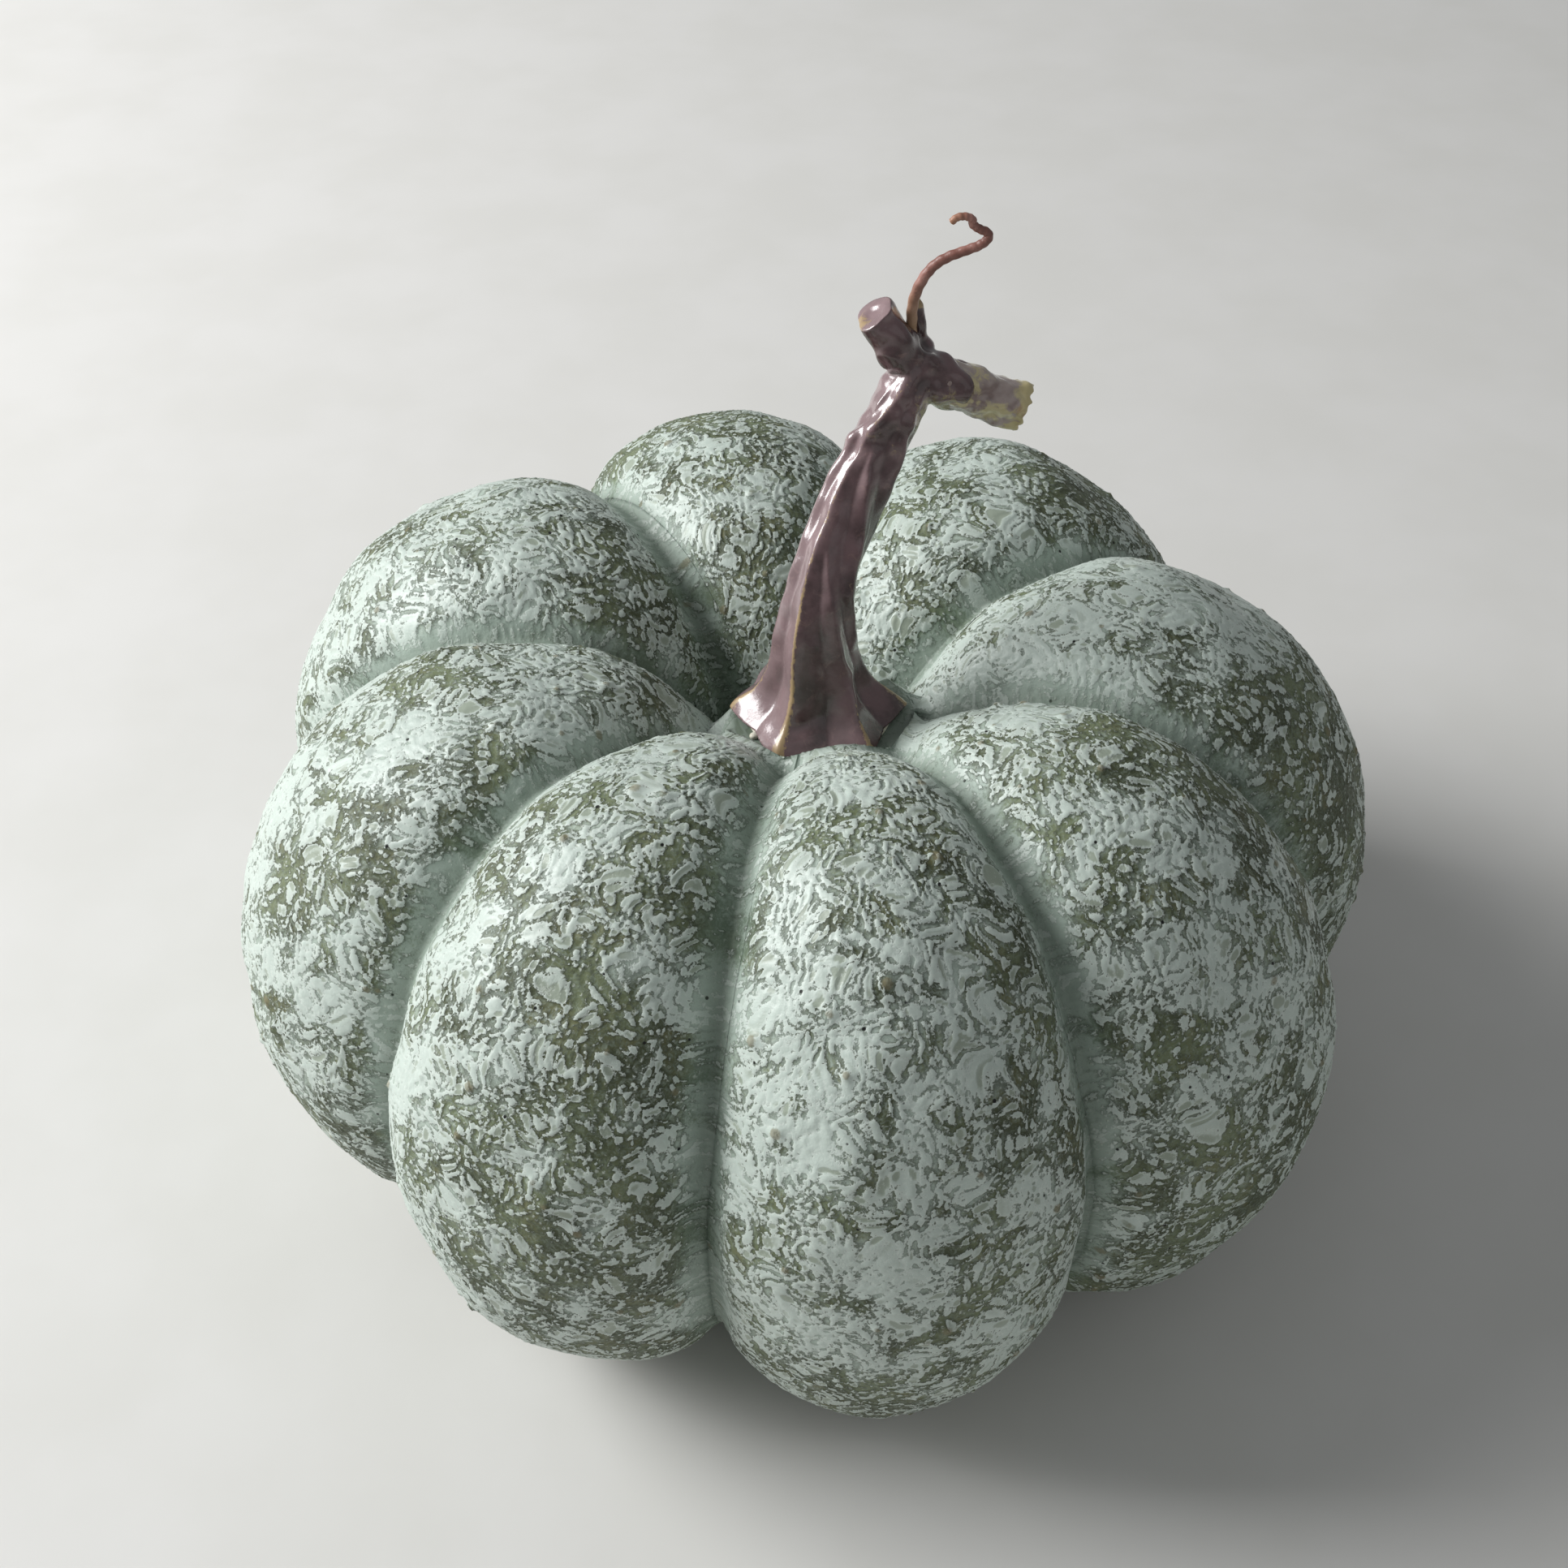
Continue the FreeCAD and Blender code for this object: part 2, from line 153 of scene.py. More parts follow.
def finish_mesh(bm: bmesh.types.BMesh, name: str, merge: float = 1e-4) -> bpy.types.Mesh:
    """Closes seams, points the faces outwards and ends the bmesh.

    Args:
        bm: The bmesh, which is freed.
        name: Name of the mesh.
        merge: Vertices closer than this are merged, in millimetres.

    Returns:
        The mesh, still in millimetres.
    """
    bmesh.ops.remove_doubles(bm, verts=bm.verts, dist=merge)
    bmesh.ops.dissolve_degenerate(bm, edges=bm.edges, dist=TINY)
    bmesh.ops.recalc_face_normals(bm, faces=bm.faces)
    mesh = bpy.data.meshes.new(name)
    bm.to_mesh(mesh)
    bm.free()
    return mesh


def get_points(mesh: bpy.types.Mesh) -> Array:
    """The vertices of a mesh."""
    flat = np.empty(len(mesh.vertices) * 3)
    mesh.vertices.foreach_get("co", flat)
    return flat.reshape(-1, 3)


def set_points(mesh: bpy.types.Mesh, points: Array) -> None:
    """Moves the vertices of a mesh."""
    mesh.vertices.foreach_set("co", points.ravel())
    mesh.update()


def get_normals(mesh: bpy.types.Mesh) -> Array:
    """The vertex normals of a mesh."""
    flat = np.empty(len(mesh.vertices) * 3)
    mesh.vertex_normals.foreach_get("vector", flat)
    return flat.reshape(-1, 3)


def store(mesh: bpy.types.Mesh, name: str, values: Array) -> None:
    """Keeps one number per vertex under a name that a finish reads."""
    layer = mesh.attributes.new(name, "FLOAT", "POINT")
    layer.data.foreach_set("value", values.astype(np.float32))


def remeshed(parts: Sequence[bpy.types.Mesh], voxel: float, smoothing: int, name: str) -> bpy.types.Mesh:
    """Runs overlapping closed meshes together into one moulded skin.

    Args:
        parts: Closed meshes in millimetres.
        voxel: Size of the new faces, in millimetres.
        smoothing: How many times the skin is relaxed.
        name: Name of the new mesh.

    Returns:
        One closed mesh, in millimetres.
    """
    bm = bmesh.new()
    for part in parts:
        bm.from_mesh(part)
    joined = bpy.data.meshes.new(name)
    bm.to_mesh(joined)
    bm.free()
    body = bpy.data.objects.new(name, joined)
    bpy.context.scene.collection.objects.link(body)
    remesh = body.modifiers.new("Skin", "REMESH")
    remesh.mode = "VOXEL"
    remesh.voxel_size = voxel
    relax = body.modifiers.new("Relax", "SMOOTH")
    relax.iterations = smoothing
    relax.factor = 0.5
    graph = bpy.context.evaluated_depsgraph_get()
    skin = bpy.data.meshes.new_from_object(body.evaluated_get(graph))
    bpy.data.objects.remove(body)
    for mesh in (joined, *parts):
        bpy.data.meshes.remove(mesh)
    skin.name = name
    return skin


def convexity(mesh: bpy.types.Mesh, spread: int) -> Array:
    """How far each vertex stands out of its surroundings, in millimetres.

    Args:
        mesh: The mesh.
        spread: How many rounds of averaging make up the surroundings.

    Returns:
        One number per vertex, positive on ridges.
    """
    points = get_points(mesh)
    normals = get_normals(mesh)
    edges = np.empty(len(mesh.edges) * 2, dtype=np.int64)
    mesh.edges.foreach_get("vertices", edges)
    first, second = edges.reshape(-1, 2).T
    count = np.bincount(first, minlength=len(points)) + np.bincount(second, minlength=len(points))
    mean = points.copy()
    for _ in range(spread):
        total = np.empty_like(mean)
        for axis in range(3):
            total[:, axis] = np.bincount(first, mean[second, axis], len(points))
            total[:, axis] += np.bincount(second, mean[first, axis], len(points))
        mean = 0.5 * mean + 0.5 * total / np.maximum(count, 1)[:, None]
    return ((points - mean) * normals).sum(axis=1)


def make_piece(mesh: bpy.types.Mesh, name: str, finish: bpy.types.Material, slot: Slot) -> None:
    """Turns a finished mesh into a piece that rides on the figure and stands for its node.

    Args:
        mesh: Mesh in millimetres, in its place.
        name: Name of the piece.
        finish: Its material.
        slot: The record's slot, which is also the name of the node.
    """
    set_points(mesh, get_points(mesh) * MM)
    corners = np.empty(len(mesh.polygons), dtype=np.int32)
    mesh.polygons.foreach_get("loop_total", corners)
    mesh.polygons.foreach_set("use_smooth", corners <= 4)
    mesh.materials.clear()
    mesh.materials.append(finish)
    mesh.name = name
    piece = bpy.data.objects.new(name, mesh)
    bpy.context.scene.collection.objects.link(piece)
    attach(piece, "root")
    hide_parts(slot.value)
    LOG.info("%s: %d vertices, %d faces", name, len(mesh.vertices), len(mesh.polygons))


# ---------------------------------------------------------------- shader tools
class Wire:
    """An output socket that can be used in sums."""

    def __init__(self, recipe: "Recipe", socket: bpy.types.NodeSocket) -> None:
        """Keeps the socket and the recipe that it belongs to."""
        self.recipe = recipe
        self.socket = socket

    def _math(self, operation: str, *values: object) -> "Wire":
        """One Math node."""
        return self.recipe.node("ShaderNodeMath", {"operation": operation}, dict(enumerate(values)))

    def __add__(self, other: object) -> "Wire":
        """self + other."""
        return self._math("ADD", self, other)

    def __sub__(self, other: object) -> "Wire":
        """self - other."""
        return self._math("SUBTRACT", self, other)

    def __mul__(self, other: object) -> "Wire":
        """self * other."""
        return self._math("MULTIPLY", self, other)

    def __rsub__(self, other: object) -> "Wire":
        """other - self."""
        return self._math("SUBTRACT", other, self)

    __radd__ = __add__
    __rmul__ = __mul__

    def ramp(self, low: float, high: float) -> "Wire":
        """An even ramp from 0 at low to 1 at high."""
        settings = {"interpolation_type": "SMOOTHSTEP"}
        return self.recipe.node("ShaderNodeMapRange", settings, {"Value": self, 1: low, 2: high})


class Recipe:
    """A node material being written."""

    def __init__(self, name: str) -> None:
        """Starts an empty material."""
        self.material = bpy.data.materials.new(name)
        self.material.use_nodes = True
        self.tree = self.material.node_tree
        self.tree.nodes.clear()
        self.place = self.node("ShaderNodeTexCoord", output="Object")

    def node(self, kind: str, settings: dict | None = None, inputs: dict | None = None,
             output: object = 0) -> Wire:
        """Adds a node.

        Args:
            kind: The node's type.
            settings: Its properties, which are set first.
            inputs: Values or wires for its sockets, by name or number.
            output: Which output is wanted, by name or number.

        Returns:
            That output.
        """
        node = self.tree.nodes.new(kind)
        for key, value in (settings or {}).items():
            setattr(node, key, value)
        for key, value in (inputs or {}).items():
            if isinstance(value, Wire):
                self.tree.links.new(value.socket, node.inputs[key])
            else:
                node.inputs[key].default_value = value
        return Wire(self, node.outputs[output])

    def attribute(self, name: str) -> Wire:
        """A number kept on the mesh."""
        return self.node("ShaderNodeAttribute", {"attribute_name": name}, output="Fac")

    def noise(self, size: float, detail: float = 3.0, rough: float = 0.55, twist: float = 0.0) -> Wire:
        """Cloudy noise, 0 to 1.

        Args:
            size: Rough size of its features, in millimetres.
            detail: How many finer layers are added.
            rough: Share that each finer layer adds.
            twist: How much the noise is bent.

        Returns:
            The noise.
        """
        inputs = {"Vector": self.place, "Scale": 1.0 / (size * MM), "Detail": detail,
                  "Roughness": rough, "Distortion": twist}
        return self.node("ShaderNodeTexNoise", {"normalize": True}, inputs)

    def cells(self, size: float) -> Wire:
        """Distance to scattered points about the given size in millimetres apart."""
        inputs = {"Vector": self.place, "Scale": 1.0 / (size * MM)}
        return self.node("ShaderNodeTexVoronoi", {"feature": "F1"}, inputs, "Distance")

    def blend(self, share: object, under: object, over: object) -> Wire:
        """One colour laid over another."""
        settings = {"data_type": "RGBA", "blend_type": "MIX", "clamp_factor": True}
        return self.node("ShaderNodeMix", settings, {0: share, 6: under, 7: over}, 2)

    def bump(self, height: object, depth: float) -> Wire:
        """Relief of the given depth in millimetres."""
        return self.node("ShaderNodeBump", {}, {"Height": height, "Distance": depth * MM, "Strength": 1.0})

    def surface(self, **inputs: object) -> bpy.types.Material:
        """Ends the recipe with one Principled shader, whose sockets are named with underscores."""
        named = {key.replace("_", " "): value for key, value in inputs.items()}
        shader = self.node("ShaderNodeBsdfPrincipled", {}, named)
        out = self.tree.nodes.new("ShaderNodeOutputMaterial")
        self.tree.links.new(shader.socket, out.inputs["Surface"])
        return self.material


def linear(value: float) -> float:
    """One channel of a colour, from a display value 0 to 255 to a linear share."""
    share = value / 255
    return share / 12.92 if share <= 0.04045 else ((share + 0.055) / 1.055) ** 2.4


def rgb(red: float, green: float, blue: float) -> tuple[float, float, float, float]:
    """A colour written in display values 0 to 255, as a linear colour."""
    return (linear(red), linear(green), linear(blue), 1.0)


# ---------------------------------------------------------------- finishes
Colour = tuple[float, float, float, float]


@dataclass(frozen=True)
class CrawledGlaze:
    """Thick pale glaze that has crawled into beads and ridges over sage green slip."""

    slip_dark: Colour = rgb(72, 79, 55)
    slip_light: Colour = rgb(110, 120, 88)
    slip_ochre: Colour = rgb(112, 112, 76)
    slip_chalky: Colour = rgb(152, 166, 152)
    slip_valley: Colour = rgb(134, 156, 140)
    film_pale: Colour = rgb(182, 197, 187)
    island_pale: Colour = rgb(200, 212, 204)
    heart_green: Colour = rgb(136, 146, 126)
    rim_white: Colour = rgb(222, 230, 223)
    # Painted shadow: the dark ring just outside the glaze islands.
    island_shadow_dark: Colour = rgb(54, 60, 42)
    speck_white: Colour = rgb(206, 214, 204)
    grit_tan: Colour = rgb(130, 124, 98)
    pinhole_black: Colour = rgb(18, 20, 16)
    # Painted shade: a darker green along the grooves and round the stalk's foot.
    groove_shade_green: Colour = rgb(84, 98, 82)
    relief_depth: float = 0.14

    def material(self) -> bpy.types.Material:
        """Writes the material.

        Returns:
            The new material.
        """
        mix = Recipe("CrawledGlaze")
        glaze = mix.attribute("glaze")
        veil = mix.attribute("veil")
        grit = mix.attribute("grit")
        valley = mix.attribute("valley")
        groove_shade = mix.attribute("groove_shade")
        wisps = mix.noise(0.9, 5.0, 0.62, 1.6)
        grain = mix.noise(0.45, 2.0, 0.6)
        patches = mix.noise(13.0, 4.0, 0.55)
        stains = mix.noise(7.0, 3.0, 0.5, 0.8)

        slip = mix.blend(patches.ramp(0.38, 0.62), self.slip_dark, self.slip_light)
        slip = mix.blend(stains.ramp(0.52, 0.7) * 0.6, slip, self.slip_ochre)
        slip = mix.blend(wisps.ramp(0.42, 0.7) * 0.6, slip, self.slip_chalky)
        slip = mix.blend(valley * 0.5, slip, self.slip_valley)

        edge = glaze + (wisps - 0.5) * 1.7 + (grain - 0.5) * 1.3
        film = (veil + (wisps - 0.5) * 1.6 + (grain - 0.5) * 0.8).ramp(-0.4, 0.6)
        island = edge.ramp(-0.14, 0.24)
        heart = mix.attribute("ring").ramp(0.15, 0.6) * (1.0 - veil.ramp(0.4, 1.1))
        rim = island * (1.0 - edge.ramp(0.2, 0.55))

        colour = mix.blend(film * 0.84, slip, self.film_pale)
        colour = mix.blend(island * 0.8, colour, self.island_pale)
        colour = mix.blend(heart * 0.7, colour, self.heart_green)
        colour = mix.blend(rim * 0.45, colour, self.rim_white)
        speck = (1.0 - mix.cells(1.15).ramp(0.14, 0.34)) * grain.ramp(0.42, 0.6) * (1.0 - island)
        # Painted shadow: a dark ring just outside each glaze island, fading where the film is thick.
        shade = edge.ramp(-0.7, -0.1) * (1.0 - island) * (1.0 - veil.ramp(0.3, 1.2))
        colour = mix.blend(shade * 0.6, colour, self.island_shadow_dark)
        colour = mix.blend(speck * 0.7, colour, self.speck_white)
        cap = (grit + (grain - 0.5) * 0.5).ramp(0.45, 0.8)
        colour = mix.blend(cap * 0.7, colour, self.grit_tan)
        pin = mix.cells(5.5)
        hole = 1.0 - pin.ramp(0.035, 0.06)
        colour = mix.blend(hole, colour, self.pinhole_black)
        # Painted shade: darker green in the bottoms of the grooves and on the seat round the stalk's foot.
        colour = mix.blend(groove_shade * 0.55, colour, self.groove_shade_green)

        raised = island * (0.5 - film * 0.2) + speck * 0.4 + wisps * 0.45 + grain * 0.35
        relief = raised - hole * 0.8 - heart * 0.3
        rough = 0.6 - island * 0.16 - film * 0.06 + cap * 0.3 + (wisps - 0.5) * 0.2
        return mix.surface(Base_Color=colour, Roughness=rough, Normal=mix.bump(relief, self.relief_depth),
                           Specular_IOR_Level=0.4)


@dataclass(frozen=True)
class BronzedResin:
    """Glossy purple-brown resin with gold dry-brushed on the ridges."""

    deep: Colour = rgb(66, 43, 43)
    pale: Colour = rgb(112, 84, 87)
    # Painted light: a pale mauve laid on the faces that turn towards the lamps.
    painted_light_mauve: Colour = rgb(166, 144, 146)
    ochre: Colour = rgb(158, 146, 94)
    # Painted shade: a dark brown laid into the hollows between the folds.
    hollow_shade_brown: Colour = rgb(44, 30, 28)
    streak_rose: Colour = rgb(138, 108, 100)
    gold: Colour = rgb(176, 150, 104)
    relief_depth: float = 0.08

    def material(self) -> bpy.types.Material:
        """Writes the material.

        Returns:
            The new material.
        """
        mix = Recipe("BronzedResin")
        ridge = mix.attribute("ridge")
        shaded_hollow = mix.attribute("shaded_hollow")
        cloud = mix.noise(6.0, 4.0, 0.55)
        grain = mix.noise(0.7, 4.0, 0.6, 0.6)
        streak = mix.noise(1.8, 3.0, 0.6, 1.0)
        colour = mix.blend(cloud.ramp(0.35, 0.65), self.deep, self.pale)
        # Painted shade: the hollows are darkened to brown.
        colour = mix.blend(shaded_hollow * 0.7, colour, self.hollow_shade_brown)
        colour = mix.blend(streak.ramp(0.56, 0.72) * 0.4, colour, self.streak_rose)
        # Painted light: the faces turned towards the lamps are blended to the pale mauve, broken up by
        # streaks.
        painted_light = mix.attribute("painted_light") * (0.45 + streak * 0.3)
        colour = mix.blend(painted_light, colour, self.painted_light_mauve)
        brushed = (ridge + (streak - 0.5) * 1.1 + (grain - 0.5) * 0.4).ramp(0.45, 0.8)
        colour = mix.blend(brushed * 0.8, colour, self.gold)
        worn = (mix.attribute("yellow") + (streak - 0.5) * 1.4).ramp(0.35, 0.7)
        colour = mix.blend(worn * 0.75, colour, self.ochre)
        rough = 0.2 + brushed * 0.25 + (cloud - 0.5) * 0.15 + shaded_hollow * 0.15
        relief = grain * 0.5 + streak * 0.5
        return mix.surface(Base_Color=colour, Roughness=rough, Normal=mix.bump(relief, self.relief_depth),
                           Specular_IOR_Level=0.6, Coat_Weight=0.7, Coat_Roughness=0.14)


@dataclass(frozen=True)
class WrappedPaper:
    """Painted paper wound round the tendril's wire."""

    brown: Colour = rgb(132, 88, 78)
    rose: Colour = rgb(168, 122, 112)
    root_straw: Colour = rgb(186, 158, 116)
    tip_tan: Colour = rgb(168, 122, 84)
    speck_dark: Colour = rgb(84, 52, 46)

    def material(self) -> bpy.types.Material:
        """Writes the material.

        Returns:
            The new material.
        """
        mix = Recipe("WrappedPaper")
        along = mix.attribute("along")
        fine = mix.noise(0.5, 3.0)
        cloud = mix.noise(3.5, 3.0)
        colour = mix.blend(cloud.ramp(0.35, 0.65), self.brown, self.rose)
        colour = mix.blend((1.0 - along.ramp(0.0, 0.22)) * 0.75, colour, self.root_straw)
        colour = mix.blend(along.ramp(0.82, 1.0) * 0.6, colour, self.tip_tan)
        colour = mix.blend(fine.ramp(0.55, 0.75) * 0.4, colour, self.speck_dark)
        rough = 0.42 + (fine - 0.5) * 0.3
        return mix.surface(Base_Color=colour, Roughness=rough, Normal=mix.bump(fine, 0.06))


@dataclass(frozen=True)
class SetAdhesive:
    """Cloudy set adhesive squeezed out under the foot."""

    cloudy: Colour = rgb(196, 192, 170)
    clear: Colour = rgb(224, 222, 208)

    def material(self) -> bpy.types.Material:
        """Writes the material.

        Returns:
            The new material.
        """
        mix = Recipe("SetAdhesive")
        cloud = mix.noise(1.2, 3.0)
        colour = mix.blend(cloud.ramp(0.3, 0.7), self.cloudy, self.clear)
        return mix.surface(Base_Color=colour, Roughness=0.3 + cloud * 0.2, Normal=mix.bump(cloud, 0.08))


@dataclass(frozen=True)
class DrawnSteel:
    """Bare steel of the peg and of the tendril's wire."""

    dull: Colour = rgb(132, 130, 126)
    bright: Colour = rgb(168, 166, 160)

    def material(self) -> bpy.types.Material:
        """Writes the material.

        Returns:
            The new material.
        """
        mix = Recipe("DrawnSteel")
        drawn = mix.noise(0.35, 2.0)
        cloud = mix.noise(3.0, 3.0)
        colour = mix.blend(cloud.ramp(0.3, 0.7), self.dull, self.bright)
        rough = 0.32 + drawn * 0.15
        return mix.surface(Base_Color=colour, Metallic=1.0, Roughness=rough, Normal=mix.bump(drawn, 0.03))


# ---------------------------------------------------------------- shell
@dataclass(frozen=True)
class Lobe:
    """One lobe of the shell."""

    name: str
    azimuth: float
    reach: float
    half_breadth: float
    crest: float


def seat_height() -> float:
    """Height of the crown's seat, where the adhesive lies, in millimetres."""
    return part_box(Slot.GLUE.value)[0][2] / MM


def foot_height() -> float:
    """Height of the face of the stalk's foot, in millimetres."""
    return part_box(Slot.STEM.value)[0][2] / MM


def knuckle_middle() -> tuple[float, float, float]:
    """Middle of the knuckle, where the stub, the sheath and the side branch meet, in millimetres."""
    return (14.0, 18.8, foot_height() + 50.0)


@dataclass
class Shell:
    """The cast shell: one sector per lobe, cut along the grooves, with its glaze in relief."""

    lobes: tuple[Lobe, ...] = (
        Lobe("front", -80.0, 91.0, 39.0, 110.0),
        Lobe("front_right", -33.0, 92.0, 42.5, 107.0),
        Lobe("right", 13.0, 98.0, 42.0, 107.0),
        Lobe("back_right", 60.0, 101.0, 44.5, 105.0),
        Lobe("back", 105.0, 105.0, 40.5, 105.0),
        Lobe("back_left", 147.0, 108.0, 44.0, 106.0),
        Lobe("left", 190.0, 98.0, 46.0, 105.0),
        Lobe("front_left", 235.0, 91.5, 40.5, 108.0),
    )
    radial_half: float = 46.5
    sink: float = 4.0
    lean: float = 7.7
    groove_softness: float = 1.0
    crease_depth: float = 3.4
    crease_width: float = 2.6
    base_radius: float = 52.0
    base_height: float = 12.0
    base_edge: float = 0.7
    crown_height: float = field(default_factory=seat_height)
    crown_radius: float = 15.5
    seat_radius: float = 14.6
    ring_radius: float = 48.0
    ring_height: float = 52.0
    columns: int = 186
    rows: int = 520
    inset: float = 0.9
    bead_height: float = 0.13
    bead_count: int = 3000
    bead_radii: tuple[float, float] = (0.35, 1.25)
    sunk_radius: float = 0.7
    knob_count: int = 34
    knob_radii: tuple[float, float] = (0.6, 1.5)
    thicker_towards: tuple[float, float, float] = (-0.62, 0.05, 0.78)
    bend: float = 0.9
    bend_length: float = 9.0
    cloud: WaveField = WaveField(64.0, 21, 20)
    patch: WaveField = WaveField(19.0, 22, 30)
    crawl: WaveField = WaveField(38.0, 23, 20)
    mottle: WaveField = WaveField(7.0, 33, 48, 0.35)
    worms: WaveField = WaveField(2.0, 31, 72, 0.3)
    crumbs: WaveField = WaveField(1.4, 32, 64, 0.25)
    dents: WaveField = WaveField(27.0, 41, 24)
    small_dents: WaveField = WaveField(11.0, 42, 24)
    finish: CrawledGlaze = field(default_factory=CrawledGlaze)

    def _ellipsoid(self, lobe: Lobe, points: Array) -> Array:
        """Distance from the surface of a lobe.

        Args:
            lobe: The lobe, a leaning ellipsoid.
            points: Points in millimetres.

        Returns:
            Roughly the distance of each point, negative inside.
        """
        turn = math.radians(lobe.azimuth)
        lean = -math.radians(self.lean)
        out = np.array([math.cos(turn), math.sin(turn), 0.0])
        side = np.array([-math.sin(turn), math.cos(turn), 0.0])
        up = np.array([0.0, 0.0, 1.0])
        axes = np.stack([math.cos(lean) * out - math.sin(lean) * up, side,
                         math.sin(lean) * out + math.cos(lean) * up], axis=1)
        halves = np.array([self.radial_half, lobe.half_breadth, (lobe.crest + self.sink) / 2])
        centre = out * (lobe.reach - self.radial_half) + up * (lobe.crest - self.sink) / 2
        local = (points - centre) @ axes
        near = np.linalg.norm(local / halves, axis=-1)
        slope = np.linalg.norm(local / halves**2, axis=-1)
        return near * (near - 1) / np.maximum(slope, 1e-9)

    def distance(self, points: Array) -> Array:
        """Distance from the smooth outside of the shell: lobes, crown and base run together.

        Args:
            points: Points in millimetres.

        Returns:
            Roughly the distance of each point, negative inside.
        """
        rho = np.hypot(points[..., 0], points[..., 1])
        height = points[..., 2]
        crown = np.maximum(rho - self.crown_radius, height - self.crown_height)
        half = self.base_height / 2
        base = np.maximum(rho - self.base_radius, np.abs(height - half) - half)
        near = [self._ellipsoid(lobe, points) for lobe in self.lobes] + [crown, base]
        soft = self.groove_softness
        total = sum(np.exp(-np.clip(value / soft, -60, 60)) for value in near)
        solid = -soft * np.log(total)
        pocket = np.maximum(rho - self.seat_radius, self.crown_height - height)
        solid = np.maximum(solid, -pocket)
        return self.base_edge * np.logaddexp(solid / self.base_edge, -height / self.base_edge)

    def _ray(self, azimuth: Array, turn: Array) -> tuple[Array, Array]:
        """Start and direction of the line that carries a vertex.

        Args:
            azimuth: Direction round the axis, in radians.
            turn: Direction in the upright plane, in radians above level and outwards.

        Returns:
            The starts and the unit directions.
        """
        out = np.stack([np.cos(azimuth), np.sin(azimuth), np.zeros_like(azimuth)], axis=-1)
        up = np.array([0.0, 0.0, 1.0])
        start = out * self.ring_radius + up * self.ring_height
        way = out * np.cos(turn)[..., None] + up * np.sin(turn)[..., None]
        return start, way

    def _reach(self, azimuth: Array, turn: Array) -> Array:
        """How far the smooth surface lies along each line, found by walking outwards.

        Args:
            azimuth: Direction round the axis, in radians.
            turn: Direction in the upright plane, in radians above level and outwards.

        Returns:
            Millimetres from the start of each line.
        """
        start, way = self._ray(azimuth, turn)
        steps = np.arange(20.0, 84.0, 1.0)
        samples = np.stack([self.distance(start + way * step) for step in steps])
        outside = samples > 0
        first = np.maximum(outside.argmax(axis=0), 1)
        low = np.take_along_axis(samples, (first - 1)[None], 0)[0]
        high = np.take_along_axis(samples, first[None], 0)[0]
        share = np.clip(-low / np.maximum(high - low, 1e-9), 0, 1)
        return steps[first - 1] + share

    def grooves(self) -> list[float]:
        """Azimuths of the grooves, each found where the shell is narrowest between two lobes.

        Returns:
            One azimuth before each lobe, in radians.
        """
        cuts = []
        for index, lobe in enumerate(self.lobes):
            before = self.lobes[index - 1].azimuth
            span = (lobe.azimuth - before) % 360
            azimuths = np.radians(before + np.linspace(0.25, 0.75, 61) * span)
            radii = self._reach(azimuths, np.full_like(azimuths, 0.25))
            cuts.append(float(azimuths[radii.argmin()]))
        return cuts

    def _turn(self, along: Array) -> Array:
        """Direction in the upright plane for a row: close rows above, wide rows underneath.

        Args:
            along: Place of the row, from 0 under the middle to 1 at the crown.

        Returns:
            The direction of each, in radians above level and outwards.
        """
        under = math.atan2(-self.ring_height, -self.ring_radius)
        over = math.atan2(self.crown_height - self.ring_height, -self.ring_radius)
        rows = np.array([0.0, 0.10, 1.0])
        turns = np.array([under, math.radians(-62), over])
        return np.interp(along, rows, turns)

    def _surface(self, low: float, high: float, across: Array, along: Array) -> Array:
        """Points of the smooth surface of one sector.

        Args:
            low: Azimuth where the sector starts, in radians.
            high: Azimuth where it ends.
            across: Place between the two, 0 to 1.
            along: Place from under the middle to the crown, 0 to 1.

        Returns:
            One point per place.
        """
        coarse_across = np.linspace(0, 1, 36)
        coarse_along = np.linspace(0, 1, 131)
        mesh_across, mesh_along = np.meshgrid(coarse_across, coarse_along)
        reach = self._reach(low + (high - low) * mesh_across, self._turn(mesh_along))
        column = across * (len(coarse_across) - 1)
        row = along * (len(coarse_along) - 1)
        left = np.minimum(column.astype(int), len(coarse_across) - 2)
        under = np.minimum(row.astype(int), len(coarse_along) - 2)
        x, y = column - left, row - under
        guess = (reach[under, left] * (1 - x) + reach[under, left + 1] * x) * (1 - y)
        guess += (reach[under + 1, left] * (1 - x) + reach[under + 1, left + 1] * x) * y
        start, way = self._ray(low + (high - low) * across, self._turn(along))
        for _ in range(4):
            guess -= np.clip(self.distance(start + way * guess[:, None]), -1.0, 1.0)
        points = start + way * guess[:, None]
        first, last = along < TINY, along > 1 - TINY
        points[first | last, :2] = 0.0
        points[first, 2] = 0.0
        points[last, 2] = self.crown_height
        return points

    def _normals(self, points: Array) -> Array:
        """Outward directions of the smooth surface."""
        step = 0.4
        here = self.distance(points)
        slopes = [self.distance(points + offset) - here for offset in np.eye(3) * step]
        return unit(np.stack(slopes, axis=1))

